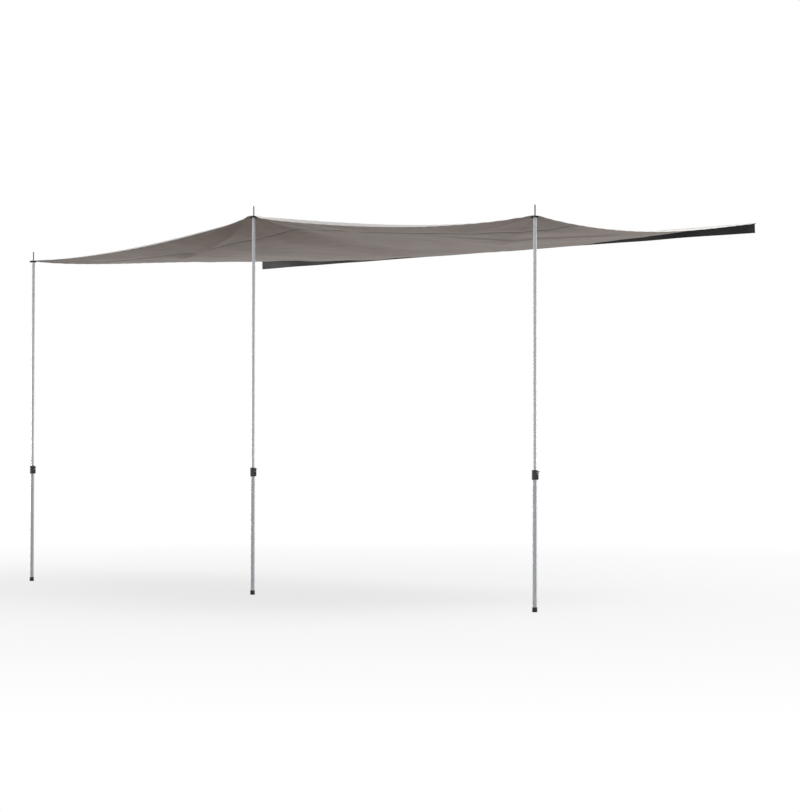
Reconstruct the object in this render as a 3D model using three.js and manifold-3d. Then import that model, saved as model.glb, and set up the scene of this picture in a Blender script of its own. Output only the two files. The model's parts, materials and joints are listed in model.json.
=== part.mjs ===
// Sun canopy: a fabric sheet with a bead along its back edge, held up in front by three telescopic poles.
// Millimetres, +Z up, +X along the front edge, +Y towards the back edge.
// The origin is the middle of the cloth's back edge. The poles stand at negative Y, their feet on one level.
import * as THREE from "three";
import { mergeVertices } from "three/addons/utils/BufferGeometryUtils.js";
import Module from "manifold-3d";

const wasm = await Module();
wasm.setup();

// Fits
const clearance = 0.3; // between pieces that touch
const overrun = 3; // how far a cutting shape passes the faces that it cuts

// Canopy, as it hangs
const pole_spacing = 2100; // from the middle of the front edge to each corner pole
const middle_offset = -38; // of the middle pole from the middle of the front edge
const canopy_depth = 2175; // from the back edge to the line of the poles
const back_edge_height = 2264; // above the ground
const middle_rise = 15; // of the front edge at the middle pole, above the back edge
const left_corner_drop = 141; // of the front corners, below the back edge
const right_corner_drop = 131;
const left_span_sag = 38; // of the front edge between its poles
const right_span_sag = 45;
const span_peak_shares = { left: 0.56, right: 0.6 }; // where it sags most, from the middle pole outwards
const left_side_sag = 19; // of the side edges between pole and back edge
const right_side_sag = 63;
const side_peak_shares = { left: 0.77, right: 0.56 }; // where the side sag is deepest, from back to front
const belly_sag = 77; // of the cloth between its edges
const belly_peak_share = 0.15; // where it is deepest, from back to front
const belly_tail_share = 1.2; // how soon it fades towards the front
const belly_spread_share = 1.35; // how far the belly draws in from the sides

// Cloth
const fabric_thickness = 2;
const hem_thickness = 2.4;
const hem_edge = 20; // from the pole line out to the cloth's outer edge
const front_hem_width = 40;
const side_hem_width = 25;
const front_strip_width = 393;
const left_hem_roll = THREE.MathUtils.degToRad(38); // how far the front hem rolls down between the poles
const right_hem_roll = THREE.MathUtils.degToRad(29);
const roll_peak_shares = { left: 0.33, right: 0.27 }; // where it rolls most, from the middle pole outwards
const head_flat_radius = 22; // level cloth round each pole head
const head_blend_radius = 85; // where the level cloth has run into the sag
const hem_still_length = 75; // of hem beside a pole that doesn't roll

// Tension folds: start and end as shares of pole_spacing across and canopy_depth forward
const folds = [
  { from_share: [-0.02, 0.99], to_share: [-1, 0.02], depth: 17, half_width: 90 },
  { from_share: [-0.05, 0.985], to_share: [-1, 0.58], depth: 14, half_width: 100 },
  { from_share: [0.3, 0.85], to_share: [1, 0.28], depth: 14, half_width: 110 },
  { from_share: [0.96, 0.98], to_share: [0.3, 0.3], depth: 8, half_width: 120 },
];
const fold_fade_share = 0.3; // of a fold's length that it takes to start and to end

// Bead, web and black flap along the back edge
const bead_radius = 3;
const web_length = 10;
const web_thickness = 1.2;
const flap_height = 56;
const flap_thickness = 1.6;

// Tabs, patches and eyelets at the pole heads
const tab_side = 16; // half the tab, across the hem
const tab_reach = 14; // from the pole back under the hem
const tab_thickness = 1.4;
const patch_reach = 21; // from the eyelet over the cloth
const patch_thickness = 1;
const eyelet_lip = 5;
const eyelet_wall = 0.7;
const pole_lean = THREE.MathUtils.degToRad(10); // how far a pole swings each way in its eyelet

// Pole
const spike_radius = 4;
const spike_above_cloth = 58;
const spike_in_plug = 26;
const spike_tip = 3; // rounded end
const upper_tube_radius = 9.5;
const lower_tube_radius = 12.5;
const tube_wall = 1;
const lower_tube_length = 728;
const least_overlap = 104; // of the tubes, on the tallest pole
const plug_shank_length = 34;
const plug_rim = 3.4; // straight rim of the plug above the tube
const bush_length = 14;
const bush_shank_length = 20;
const bush_bore_radius = 3;
const foot_cap_height = 26;
const foot_cap_wall = 1.2;
const foot_cap_floor = 4;
const foot_cap_flare = 0.6;

// Clamp on the lower tube's head
const clamp_turn = THREE.MathUtils.degToRad(35); // of the lever, from +X towards the back
const collar_height = 52;
const collar_socket = 22; // depth that the lower tube goes in
const collar_wall = 3;
const collar_rim = 0.8; // rims stand proud of the wall
const collar_rim_height = 5;
const rib_count = 7;
const rib_width = 2.2;
const rib_height = 0.7;
const pin_radius = 1.5;
const pin_head_radius = 2.4;
const pin_head_thickness = 0.8;
const pin_above_socket = 7; // pin's centre above the lower tube's end
const pin_beyond_wall = 0.4;
const hub_radius = 3.4;
const cam_throw = 0.5;
const lever_width = 12;
const lever_thickness = 3.4;
const lever_length = 18; // from the pin up to the end
const lever_tip_reach = 5.4; // of the finger tip, outwards
const lever_tip_thickness = 3.2;
const ear_thickness = 3.4;
const ear_radius = 3.6;
const ear_taper = 1.6; // at the ears' lower ends
const shoe_height = 11;

// Fineness of round shapes and of the cloth's grids
const round_segments = 24;
const small_segments = 16;
const panel_columns = 28;
const panel_rows = 15; // in front of the belly
const strip_rows = 3;
const side_hem_rows = 26;
const front_hem_rows = 3;
const head_piece_steps = 4;

const materials = {
  cloth: { color: 0x857b74, roughness: 0.85, metalness: 0 },
  hem: { color: 0xcfcbc6, roughness: 0.8, metalness: 0 },
  black_band: { color: 0x26282a, roughness: 0.75, metalness: 0 },
  webbing: { color: 0x1b1b1c, roughness: 0.9, metalness: 0 },
  bead: { color: 0x3a3c3e, roughness: 0.5, metalness: 0 },
  steel: { color: 0xb9bcc0, roughness: 0.35, metalness: 0.9 },
  zinc: { color: 0xa4a8ad, roughness: 0.4, metalness: 0.9 },
  plastic: { color: 0x2b2c2e, roughness: 0.5, metalness: 0 },
  rubber: { color: 0x202123, roughness: 0.9, metalness: 0 },
  nylon: { color: 0xd8d6cf, roughness: 0.6, metalness: 0 },
};

const canopy = new THREE.Group();

function add(parent, name, geometry, look) {
  const mesh = new THREE.Mesh(geometry, new THREE.MeshStandardMaterial(materials[look]));
  mesh.name = name;
  parent.add(mesh);
  return mesh;
}

// Solids for cutting and joining

function toSolid(geometry) {
  const bare = geometry.clone();
  bare.deleteAttribute("normal");
  bare.deleteAttribute("uv");
  const merged = mergeVertices(bare, clearance / 100);
  return new wasm.Manifold(
    new wasm.Mesh({
      numProp: 3,
      vertProperties: merged.attributes.position.array,
      triVerts: new Uint32Array(merged.index.array),
    }),
  );
}

function toGeometry(solid) {
  const mesh = solid.getMesh();
  const geometry = new THREE.BufferGeometry();
  geometry.setAttribute("position", new THREE.BufferAttribute(mesh.vertProperties, 3));
  geometry.setIndex(new THREE.BufferAttribute(mesh.triVerts, 1));
  geometry.computeVertexNormals();
  return geometry;
}

function cut(geometry, ...tools) {
  let solid = toSolid(geometry);
  for (const tool of tools) solid = solid.subtract(toSolid(tool));
  return toGeometry(solid);
}

function join(...pieces) {
  let solid = toSolid(pieces[0]);
  for (const piece of pieces.slice(1)) solid = solid.add(toSolid(piece));
  return toGeometry(solid);
}

// A body of revolution about Z from [radius, height] points; closed on itself unless it meets the axis.
function turned(points, segments = round_segments) {
  const profile = points.map(([radius, height]) => new THREE.Vector2(radius, height));
  const meets_axis = points[0][0] === 0 && points[points.length - 1][0] === 0;
  if (!meets_axis) profile.push(profile[0].clone());
  return new THREE.LatheGeometry(profile, segments).rotateX(Math.PI / 2);
}

function rod(radius, low, high, segments = round_segments) {
  const corners = [
    [0, low],
    [radius, low],
    [radius, high],
    [0, high],
  ];
  return turned(corners, segments);
}

function ring(inner, outer, low, high) {
  const corners = [
    [inner, low],
    [outer, low],
    [outer, high],
    [inner, high],
  ];
  return turned(corners);
}

function block(low, high) {
  const size = high.map((value, axis) => value - low[axis]);
  const centre = high.map((value, axis) => (value + low[axis]) / 2);
  return new THREE.BoxGeometry(...size).translate(...centre);
}

// The cloth's surface

// 0 at both ends and 1 at the peak's place
function arch(share, peak = 0.5) {
  const bent = Math.pow(THREE.MathUtils.clamp(share, 0, 1), Math.log(0.5) / Math.log(peak));
  return 4 * bent * (1 - bent);
}

// 0 at the back edge, 1 a little in front of it, and 0 again at the front
function belly(share) {
  const beyond_share = 1 - belly_peak_share * (1 + belly_tail_share);
  const rise_share = (belly_tail_share * belly_peak_share ** 2) / beyond_share;
  const shape = (at) => (at / (at + rise_share)) * Math.pow(1 - at, belly_tail_share);
  return shape(share) / shape(belly_peak_share);
}

// How far out from the middle pole a place on the front edge lies, and the length of its span
function alongSpan(x) {
  const span = x < middle_offset ? pole_spacing + middle_offset : pole_spacing - middle_offset;
  return { out: Math.min(Math.abs(x - middle_offset), span), span };
}

function frontEdgeHeight(x) {
  const { out, span } = alongSpan(x);
  const share = out / span;
  const left = x < middle_offset;
  const drop = middle_rise + (left ? left_corner_drop : right_corner_drop);
  const sag = left
    ? left_span_sag * arch(share, span_peak_shares.left)
    : right_span_sag * arch(share, span_peak_shares.right);
  return middle_rise - drop * share - sag;
}

function foldDepth(x, y) {
  let depth = 0;
  for (const fold of folds) {
    const start = new THREE.Vector2(fold.from_share[0] * pole_spacing, -fold.from_share[1] * canopy_depth);
    const end = new THREE.Vector2(fold.to_share[0] * pole_spacing, -fold.to_share[1] * canopy_depth);
    const along = end.clone().sub(start);
    const place = new THREE.Vector2(x, y).sub(start);
    const share = place.dot(along) / along.lengthSq();
    const across = Math.abs(place.cross(along)) / along.length() / fold.half_width;
    const ends = THREE.MathUtils.smoothstep(share, 0, fold_fade_share);
    const stop = 1 - THREE.MathUtils.smoothstep(share, 1 - fold_fade_share, 1);
    depth += fold.depth * ends * stop * Math.exp(-across * across);
  }
  return depth;
}

// Heights of the edges and the sags, before the level places at the pole heads
function hangingHeight(x, y) {
  const forward = THREE.MathUtils.clamp(-y / canopy_depth, 0, 1);
  const across = THREE.MathUtils.clamp((x / pole_spacing + 1) / 2, 0, 1);
  const left = left_side_sag * arch(forward, side_peak_shares.left);
  const right = right_side_sag * arch(forward, side_peak_shares.right);
  const spread = Math.pow(4 * across * (1 - across), belly_spread_share);
  return (
    forward * frontEdgeHeight(x) -
    (1 - across) * left -
    across * right -
    belly_sag * spread * belly(forward) -
    foldDepth(x, y)
  );
}

const head_places = { left: -pole_spacing, middle: middle_offset, right: pole_spacing };

function clothHeight(x, y) {
  let height = hangingHeight(x, y);
  for (const head_x of Object.values(head_places)) {
    const distance = Math.hypot(x - head_x, y + canopy_depth);
    const loose = THREE.MathUtils.smoothstep(distance, head_flat_radius, head_blend_radius);
    height = THREE.MathUtils.lerp(frontEdgeHeight(head_x), height, loose);
  }
  return height;
}

const hem_line = -canopy_depth - hem_edge + front_hem_width; // where hem and strip meet
const outer_edge = pole_spacing + hem_edge;

function hemRoll(x) {
  const { out, span } = alongSpan(x);
  const share = (out - hem_still_length) / (span - 2 * hem_still_length);
  if (x < middle_offset) return left_hem_roll * arch(share, roll_peak_shares.left);
  return right_hem_roll * arch(share, roll_peak_shares.right);
}

// A point of the cloth's middle surface and its upward normal, from x and the way out from the back edge
function clothPoint(x, way) {
  const on_hem = way + hem_line;
  if (on_hem <= 0) return { point: [x, -way, clothHeight(x, -way)], normal: [0, 0, 1] };
  const roll = hemRoll(x);
  const height = clothHeight(x, hem_line) - on_hem * Math.sin(roll);
  const point = [x, hem_line - on_hem * Math.cos(roll), height];
  return { point, normal: [0, -Math.sin(roll), Math.cos(roll)] };
}

// A closed slab that follows the cloth over a grid of x places and ways out from the back edge
function slab(places, ways, thickness, offset = 0) {
  const positions = [];
  for (const side of [1, -1]) {
    const shift = offset + (side * thickness) / 2;
    for (const way of ways) {
      for (const x of places) {
        const { point, normal } = clothPoint(x, way);
        positions.push(...point.map((value, axis) => value + normal[axis] * shift));
      }
    }
  }
  const columns = places.length;
  const rows = ways.length;
  const at = (column, row, under) => (under ? columns * rows : 0) + row * columns + column;
  const index = [];
  const quad = (a, b, c, d) => index.push(a, b, c, a, c, d);
  for (let row = 0; row < rows - 1; row++) {
    for (let column = 0; column < columns - 1; column++) {
      quad(at(column, row), at(column, row + 1), at(column + 1, row + 1), at(column + 1, row));
      quad(at(column, row, 1), at(column + 1, row, 1), at(column + 1, row + 1, 1), at(column, row + 1, 1));
    }
  }
  for (let column = 0; column < columns - 1; column++) {
    quad(at(column, 0), at(column + 1, 0), at(column + 1, 0, 1), at(column, 0, 1));
    quad(
      at(column + 1, rows - 1),
      at(column, rows - 1),
      at(column, rows - 1, 1),
      at(column + 1, rows - 1, 1),
    );
  }
  for (let row = 0; row < rows - 1; row++) {
    quad(at(0, row + 1), at(0, row), at(0, row, 1), at(0, row + 1, 1));
    quad(
      at(columns - 1, row),
      at(columns - 1, row + 1),
      at(columns - 1, row + 1, 1),
      at(columns - 1, row, 1),
    );
  }
  const geometry = new THREE.BufferGeometry();
  geometry.setAttribute("position", new THREE.Float32BufferAttribute(positions, 3));
  geometry.setIndex(index);
  geometry.computeVertexNormals();
  return geometry;
}

function steps(from, to, count) {
  return Array.from({ length: count + 1 }, (_, step) => THREE.MathUtils.lerp(from, to, step / count));
}

// Places along the front edge, closer together near the poles
function frontPlaces(from, to) {
  const span_shares = [0.05, 0.1, 0.18, 0.28, 0.39, 0.5, 0.61, 0.72, 0.82, 0.9, 0.95];
  const inner = [];
  for (const side of [-1, 1]) {
    const { span } = alongSpan(side * pole_spacing);
    for (const share of span_shares) inner.push(middle_offset + side * share * span);
  }
  for (const head_x of Object.values(head_places)) {
    inner.push(head_x - head_flat_radius, head_x + head_flat_radius);
  }
  const kept = inner.filter((x) => x > from + clearance && x < to - clearance);
  return [from, ...kept.sort((a, b) => a - b), to];
}

// Everything at an eyelet is cut through by the same bore
const stack_above = hem_thickness / 2 + 2 * clearance + patch_thickness + eyelet_wall;
const stack_below = hem_thickness / 2 + 2 * clearance + tab_thickness + eyelet_wall;
const stack_half = Math.max(stack_above, stack_below);
const eyelet_bore =
  spike_radius / Math.cos(pole_lean) + stack_half * Math.tan(pole_lean) + clearance / 3;
const layer_bore = eyelet_bore + eyelet_wall + clearance;

function throughHole(head_x) {
  const height = frontEdgeHeight(head_x);
  const tool = rod(layer_bore, height - stack_half - overrun, height + stack_half + overrun);
  return tool.translate(head_x, -canopy_depth, 0);
}

function mainPanel() {
  const edge = outer_edge - side_hem_width - clearance;
  const front = -hem_line - front_strip_width - clearance;
  const near_back_shares = [0, 0.03, 0.065, 0.105, 0.15];
  const ways = near_back_shares.map((share) => share * front);
  ways.push(...steps(ways.pop(), front, panel_rows));
  return slab(steps(-edge, edge, panel_columns), ways, fabric_thickness);
}

function frontStrip() {
  const edge = outer_edge - side_hem_width - clearance;
  const start = -hem_line - front_strip_width;
  const ways = steps(start, canopy_depth - 2 * head_flat_radius, strip_rows);
  ways.push(-hem_line - clearance);
  return slab(frontPlaces(-edge, edge), ways, fabric_thickness);
}

function sideHem(side) {
  const inner = outer_edge - side_hem_width;
  const places = side < 0 ? [-outer_edge, -inner] : [inner, outer_edge];
  const ways = steps(0, -hem_line - clearance, side_hem_rows);
  return slab(places, ways, hem_thickness);
}

function frontHem() {
  const ways = steps(-hem_line, -hem_line + front_hem_width, front_hem_rows);
  const band = slab(frontPlaces(-outer_edge, outer_edge), ways, hem_thickness);
  return cut(band, ...Object.values(head_places).map(throughHole));
}

// A tab or patch that follows the cloth at one pole head, no further out than the cloth
function headPiece(head_x, across, back, thickness, offset) {
  const left = Math.max(head_x - across, -outer_edge);
  const right = Math.min(head_x + across, outer_edge);
  const places = steps(left, right, head_piece_steps);
  const ways = steps(canopy_depth - back, canopy_depth + hem_edge, head_piece_steps);
  return cut(slab(places, ways, thickness, offset), throughHole(head_x));
}

function tab(head_x) {
  const offset = -(hem_thickness + tab_thickness) / 2 - clearance;
  return headPiece(head_x, tab_side, tab_reach, tab_thickness, offset);
}

function patch(head_x) {
  const offset = (hem_thickness + patch_thickness) / 2 + clearance;
  return headPiece(head_x, patch_reach, patch_reach, patch_thickness, offset);
}

// A barrel through all layers with a lip over and under them
function eyelet(head_x) {
  const barrel = eyelet_bore + eyelet_wall;
  const lip = eyelet_bore + eyelet_lip;
  const over = stack_above - eyelet_wall;
  const under = eyelet_wall - stack_below;
  const corners = [
    [eyelet_bore, -stack_below],
    [lip, -stack_below],
    [lip, under],
    [barrel, under],
    [barrel, over],
    [lip, over],
    [lip, stack_above],
    [eyelet_bore, stack_above],
  ];
  return turned(corners).translate(head_x, -canopy_depth, frontEdgeHeight(head_x));
}

// Bead and web along the back edge, drawn in the YZ plane and run along X
function kederStrip() {
  const half_web = web_thickness / 2;
  const meet = Math.asin(half_web / bead_radius);
  const outline = new THREE.Shape();
  outline.moveTo(clearance, -half_web);
  outline.lineTo(web_length - bead_radius * Math.cos(meet), -half_web);
  outline.absarc(web_length, 0, bead_radius, Math.PI + meet, Math.PI * 3 - meet, false);
  outline.lineTo(clearance, half_web);
  const settings = { depth: 2 * outer_edge, bevelEnabled: false, curveSegments: small_segments };
  const run = new THREE.ExtrudeGeometry(outline, settings);
  // The outline's x is Y and its y is Z, so the run turns from Z to X.
  const turn = new THREE.Matrix4().makeBasis(
    new THREE.Vector3(0, 1, 0),
    new THREE.Vector3(0, 0, 1),
    new THREE.Vector3(1, 0, 0),
  );
  return run.applyMatrix4(turn).translate(-outer_edge, 0, 0);
}

function backFlap() {
  const top = -web_thickness / 2 - clearance;
  const low = [-outer_edge, clearance, top - flap_height];
  const high = [outer_edge, clearance + flap_thickness, top];
  return block(low, high);
}

function addCanopy(parent) {
  add(parent, "main_panel", mainPanel(), "cloth");
  add(parent, "front_strip", frontStrip(), "cloth");
  add(parent, "front_hem", frontHem(), "hem");
  add(parent, "left_hem", sideHem(-1), "hem");
  add(parent, "right_hem", sideHem(1), "hem");
  add(parent, "keder_strip", kederStrip(), "bead");
  add(parent, "back_flap", backFlap(), "black_band");
  for (const [side, head_x] of Object.entries(head_places)) {
    add(parent, `${side}_tab`, tab(head_x), "webbing");
    add(parent, `${side}_patch`, patch(head_x), "hem");
    add(parent, `${side}_eyelet`, eyelet(head_x), "zinc");
  }
}

// Pole heights, from the swing's centre in the eyelet down

// How far a point at this radius must lie under the swing's centre to clear the eyelet at full lean
function leanDepth(radius) {
  return stack_half / Math.cos(pole_lean) + radius * Math.tan(pole_lean) + clearance;
}

// Heights of the lower tube's ends under a pole head of this height
function lowerTubeEnds(head_height) {
  const ground = -back_edge_height - head_height;
  const bottom = ground + foot_cap_floor + clearance;
  return { ground, bottom, top: bottom + lower_tube_length };
}

const plug_bore = spike_radius + clearance;
const upper_top = -leanDepth(upper_tube_radius) - plug_rim;
const tallest_head = Math.max(...Object.values(head_places).map(frontEdgeHeight));
const upper_bottom = lowerTubeEnds(tallest_head).top - least_overlap; // alike on all three poles
const upper_bore = upper_tube_radius - tube_wall;
const lower_bore = lower_tube_radius - tube_wall;

function spike() {
  const bottom = upper_top - spike_in_plug;
  const top = stack_above + spike_above_cloth;
  const corners = [
    [0, bottom],
    [spike_radius, bottom],
    [spike_radius, top - spike_tip],
    [spike_radius * Math.SQRT1_2, top - spike_tip * (1 - Math.SQRT1_2)],
    [0, top],
  ];
  return turned(corners, small_segments);
}

function topPlug() {
  const shank = upper_bore - clearance;
  const seat = upper_top + clearance;
  const corners = [
    [plug_bore, upper_top - plug_shank_length],
    [shank, upper_top - plug_shank_length],
    [shank, seat],
    [upper_tube_radius, seat],
    [upper_tube_radius, -leanDepth(upper_tube_radius) - plug_rim / 3],
    [upper_tube_radius - plug_rim / 3, -leanDepth(upper_tube_radius)],
    [plug_bore, -leanDepth(plug_bore)],
  ];
  return turned(corners);
}

function glideBush() {
  const outer = lower_bore - clearance;
  const shank = upper_bore - clearance;
  const seat = upper_bottom - clearance;
  const corners = [
    [bush_bore_radius, seat - bush_length],
    [outer, seat - bush_length],
    [outer, seat],
    [shank, seat],
    [shank, seat + bush_shank_length],
    [bush_bore_radius, seat + bush_shank_length],
  ];
  return turned(corners);
}

function footCap(ground) {
  const inner = lower_tube_radius + clearance;
  const outer = inner + foot_cap_wall;
  const corners = [
    [0, ground],
    [outer, ground],
    [outer + foot_cap_flare, ground + foot_cap_flare],
    [outer + foot_cap_flare, ground + foot_cap_floor],
    [outer, ground + foot_cap_floor + foot_cap_flare],
    [outer, ground + foot_cap_height],
    [inner, ground + foot_cap_height],
    [inner, ground + foot_cap_floor],
    [0, ground + foot_cap_floor],
  ];
  return turned(corners);
}

// The clamp, in its own frame: the lever on +X, the collar's lower edge at zero

const collar_outer = lower_tube_radius + clearance + collar_wall;
const collar_bore = upper_tube_radius + clearance;
const pin_height = collar_socket + pin_above_socket;
const pin_x = collar_outer + pin_beyond_wall;
const half_lever = lever_width / 2;
const ear_inside = half_lever + clearance;

// A prism along Y from an outline in X and Z
function prism(outline, half_width) {
  const settings = { depth: 2 * half_width, bevelEnabled: false, curveSegments: small_segments };
  const run = new THREE.ExtrudeGeometry(outline, settings);
  return run.rotateX(Math.PI / 2).translate(0, half_width, 0);
}

function collarBody() {
  const rim = collar_outer + collar_rim;
  const socket = lower_tube_radius + clearance;
  const corners = [
    [socket, 0],
    [rim - collar_rim / 2, 0],
    [rim, collar_rim / 2],
    [rim, collar_rim_height],
    [collar_outer, collar_rim_height + collar_rim],
    [collar_outer, collar_height - collar_rim_height - collar_rim],
    [rim, collar_height - collar_rim_height],
    [rim, collar_height - collar_rim],
    [rim - collar_rim, collar_height],
    [collar_bore, collar_height],
    [collar_bore, collar_socket],
    [socket, collar_socket],
  ];
  return turned(corners);
}

function collarRibs() {
  const ribs = [];
  const low = collar_rim_height - clearance;
  const high = collar_height - collar_rim_height + clearance;
  for (let step = 0; step < rib_count; step++) {
    const angle = Math.PI / 3 + (step / (rib_count - 1)) * ((Math.PI * 4) / 3);
    const near = [collar_outer - collar_wall / 2, -rib_width / 2, low];
    const far = [collar_outer + rib_height, rib_width / 2, high];
    ribs.push(block(near, far).rotateZ(angle));
  }
  return ribs;
}

// A cheek from the collar's lower rim up to its round end at the pin
function earOutline(inner_x) {
  const outline = new THREE.Shape();
  outline.moveTo(inner_x, collar_rim);
  outline.lineTo(pin_x + ear_radius - ear_taper, collar_rim);
  outline.lineTo(pin_x + ear_radius, collar_rim + ear_taper);
  outline.absarc(pin_x, pin_height, ear_radius, 0, Math.PI / 2, false);
  outline.lineTo(inner_x, pin_height + ear_radius + collar_wall);
  return outline;
}

function collarEars() {
  const inner_x = lower_tube_radius + clearance + collar_wall / 2;
  const ears = [];
  for (const side of [-1, 1]) {
    const ear = prism(earOutline(inner_x), ear_thickness / 2);
    ears.push(ear.translate(0, side * (ear_inside + ear_thickness / 2), 0));
  }
  return ears;
}

function pinTool(radius) {
  const half = ear_inside + ear_thickness + overrun;
  return rod(radius, -half, half, small_segments).rotateX(Math.PI / 2).translate(pin_x, 0, pin_height);
}

// The window that the shoe and the cam share, through the wall on the lever's side
function shoeWindow() {
  const half = shoe_height / 2 + clearance;
  const low = [0, -ear_inside, pin_height - half];
  const high = [collar_outer + collar_rim + overrun, ear_inside, pin_height + half];
  return block(low, high);
}

function clampCollar() {
  const shell = join(collarBody(), ...collarRibs(), ...collarEars());
  const bore = rod(collar_bore, collar_socket, collar_height + overrun);
  const socket = rod(lower_tube_radius + clearance, -overrun, collar_socket);
  const pin_hole = pinTool(pin_radius + clearance);
  return cut(shell, bore, socket, shoeWindow(), pin_hole);
}

function clampLever() {
  const inner = collar_outer + collar_rim + clearance;
  const outer = inner + lever_thickness;
  const top = pin_height + lever_length;
  const tip = outer + lever_tip_reach;
  const arm = new THREE.Shape();
  arm.moveTo(inner, pin_height);
  arm.lineTo(outer, pin_height);
  arm.lineTo(outer, top - 2 * lever_tip_thickness);
  arm.lineTo(tip, top - lever_tip_thickness);
  arm.lineTo(tip, top - lever_tip_thickness / 3);
  arm.lineTo(tip - lever_tip_thickness / 2, top);
  arm.lineTo(inner + lever_thickness / 3, top);
  arm.lineTo(inner, top - lever_tip_thickness);
  const hub = rod(hub_radius, -half_lever, half_lever, small_segments);
  hub.rotateX(Math.PI / 2).translate(pin_x - cam_throw, 0, pin_height);
  return cut(join(prism(arm, half_lever), hub), pinTool(pin_radius + clearance));
}

function leverPin() {
  const half = ear_inside + ear_thickness + clearance;
  const corners = [
    [0, -half - pin_head_thickness],
    [pin_head_radius, -half - pin_head_thickness],
    [pin_head_radius, -half],
    [pin_radius, -half],
    [pin_radius, half],
    [pin_head_radius, half],
    [pin_head_radius, half + pin_head_thickness],
    [0, half + pin_head_thickness],
  ];
  return turned(corners, small_segments).rotateX(Math.PI / 2).translate(pin_x, 0, pin_height);
}

// A pad in the window, hollowed to the upper tube, under the cam
function brakeShoe() {
  const outer = pin_x - cam_throw - hub_radius - clearance;
  const half_width = ear_inside - clearance;
  const low = [outer - upper_tube_radius / 2, -half_width, pin_height - shoe_height / 2];
  const high = [outer, half_width, pin_height + shoe_height / 2];
  const tube = rod(collar_bore, pin_height - shoe_height, pin_height + shoe_height);
  return cut(block(low, high), tube);
}

function addClamp(parent, side) {
  add(parent, `${side}_clamp_collar`, clampCollar(), "plastic");
  add(parent, `${side}_clamp_lever`, clampLever(), "plastic");
  add(parent, `${side}_lever_pin`, leverPin(), "zinc");
  add(parent, `${side}_brake_shoe`, brakeShoe(), "nylon");
}

// One pole, its group's origin at the swing's centre in the eyelet
function addPole(side, head_x) {
  const pole = new THREE.Group();
  pole.position.set(head_x, -canopy_depth, frontEdgeHeight(head_x));
  const { ground, bottom, top } = lowerTubeEnds(frontEdgeHeight(head_x));
  add(pole, `${side}_spike`, spike(), "zinc");
  add(pole, `${side}_top_plug`, topPlug(), "zinc");
  add(pole, `${side}_upper_tube`, ring(upper_bore, upper_tube_radius, upper_bottom, upper_top), "steel");
  add(pole, `${side}_glide_bush`, glideBush(), "nylon");
  add(pole, `${side}_lower_tube`, ring(lower_bore, lower_tube_radius, bottom, top), "steel");
  add(pole, `${side}_foot_cap`, footCap(ground), "rubber");
  const clamp = new THREE.Group();
  clamp.position.set(0, 0, top + clearance - collar_socket);
  clamp.rotation.z = clamp_turn;
  addClamp(clamp, side);
  pole.add(clamp);
  canopy.add(pole);
}

addCanopy(canopy);
for (const [side, head_x] of Object.entries(head_places)) addPole(side, head_x);

export default canopy;
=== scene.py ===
"""Looks of the sun canopy: a hung sheet of cloth on three telescopic poles. Metres, in the CAD frame."""

import json
import math

import bpy
import numpy as np
from mathutils import Matrix, Vector


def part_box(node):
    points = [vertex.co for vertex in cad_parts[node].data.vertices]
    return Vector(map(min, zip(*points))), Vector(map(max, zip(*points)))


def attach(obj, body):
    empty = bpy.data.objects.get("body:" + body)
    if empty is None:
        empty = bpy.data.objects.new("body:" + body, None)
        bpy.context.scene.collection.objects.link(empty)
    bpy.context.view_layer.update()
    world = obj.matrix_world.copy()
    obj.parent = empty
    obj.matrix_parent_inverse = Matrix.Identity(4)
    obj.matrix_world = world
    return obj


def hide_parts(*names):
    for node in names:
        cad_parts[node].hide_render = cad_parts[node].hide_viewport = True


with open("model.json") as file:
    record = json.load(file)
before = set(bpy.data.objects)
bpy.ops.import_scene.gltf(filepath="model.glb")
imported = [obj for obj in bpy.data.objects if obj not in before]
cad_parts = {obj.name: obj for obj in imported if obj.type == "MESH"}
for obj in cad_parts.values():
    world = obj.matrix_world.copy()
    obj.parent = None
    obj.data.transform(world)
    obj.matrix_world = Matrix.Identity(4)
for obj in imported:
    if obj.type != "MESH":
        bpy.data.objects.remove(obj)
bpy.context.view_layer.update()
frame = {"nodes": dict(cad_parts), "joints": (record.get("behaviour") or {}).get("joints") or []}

# Camera, worked out from the poles' feet and heads
CAMERA_PLACE = (9.362, -11.591, -1.405)
CAMERA_YAW = math.radians(41.141)
CAMERA_PITCH = math.radians(1.193)
CAMERA_ROLL = math.radians(0.114)
FOCAL_PIXELS = 2205.7
IMAGE_HEIGHT_PIXELS = 812
SENSOR_HEIGHT_MM = 36

# Places that the frame gives
SIDES = ("left", "middle", "right")
SWINGS = {j["name"]: j["pos_m"] for j in frame["joints"] if j["name"].endswith("_pole_swing")}
HEADS = {side: Vector(SWINGS[f"{side}_pole_swing"]) for side in SIDES}
POLE_SPACING = HEADS["right"].x
CANOPY_DEPTH = -HEADS["middle"].y
MIDDLE_RISE = HEADS["middle"].z
MIDDLE = HEADS["middle"].x
CORNER_DROP = {side: -HEADS[side].z for side in ("left", "right")}
OUTER_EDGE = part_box("front_hem")[1].x
HEM_EDGE = OUTER_EDGE - POLE_SPACING
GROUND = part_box("middle_foot_cap")[0].z

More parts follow.
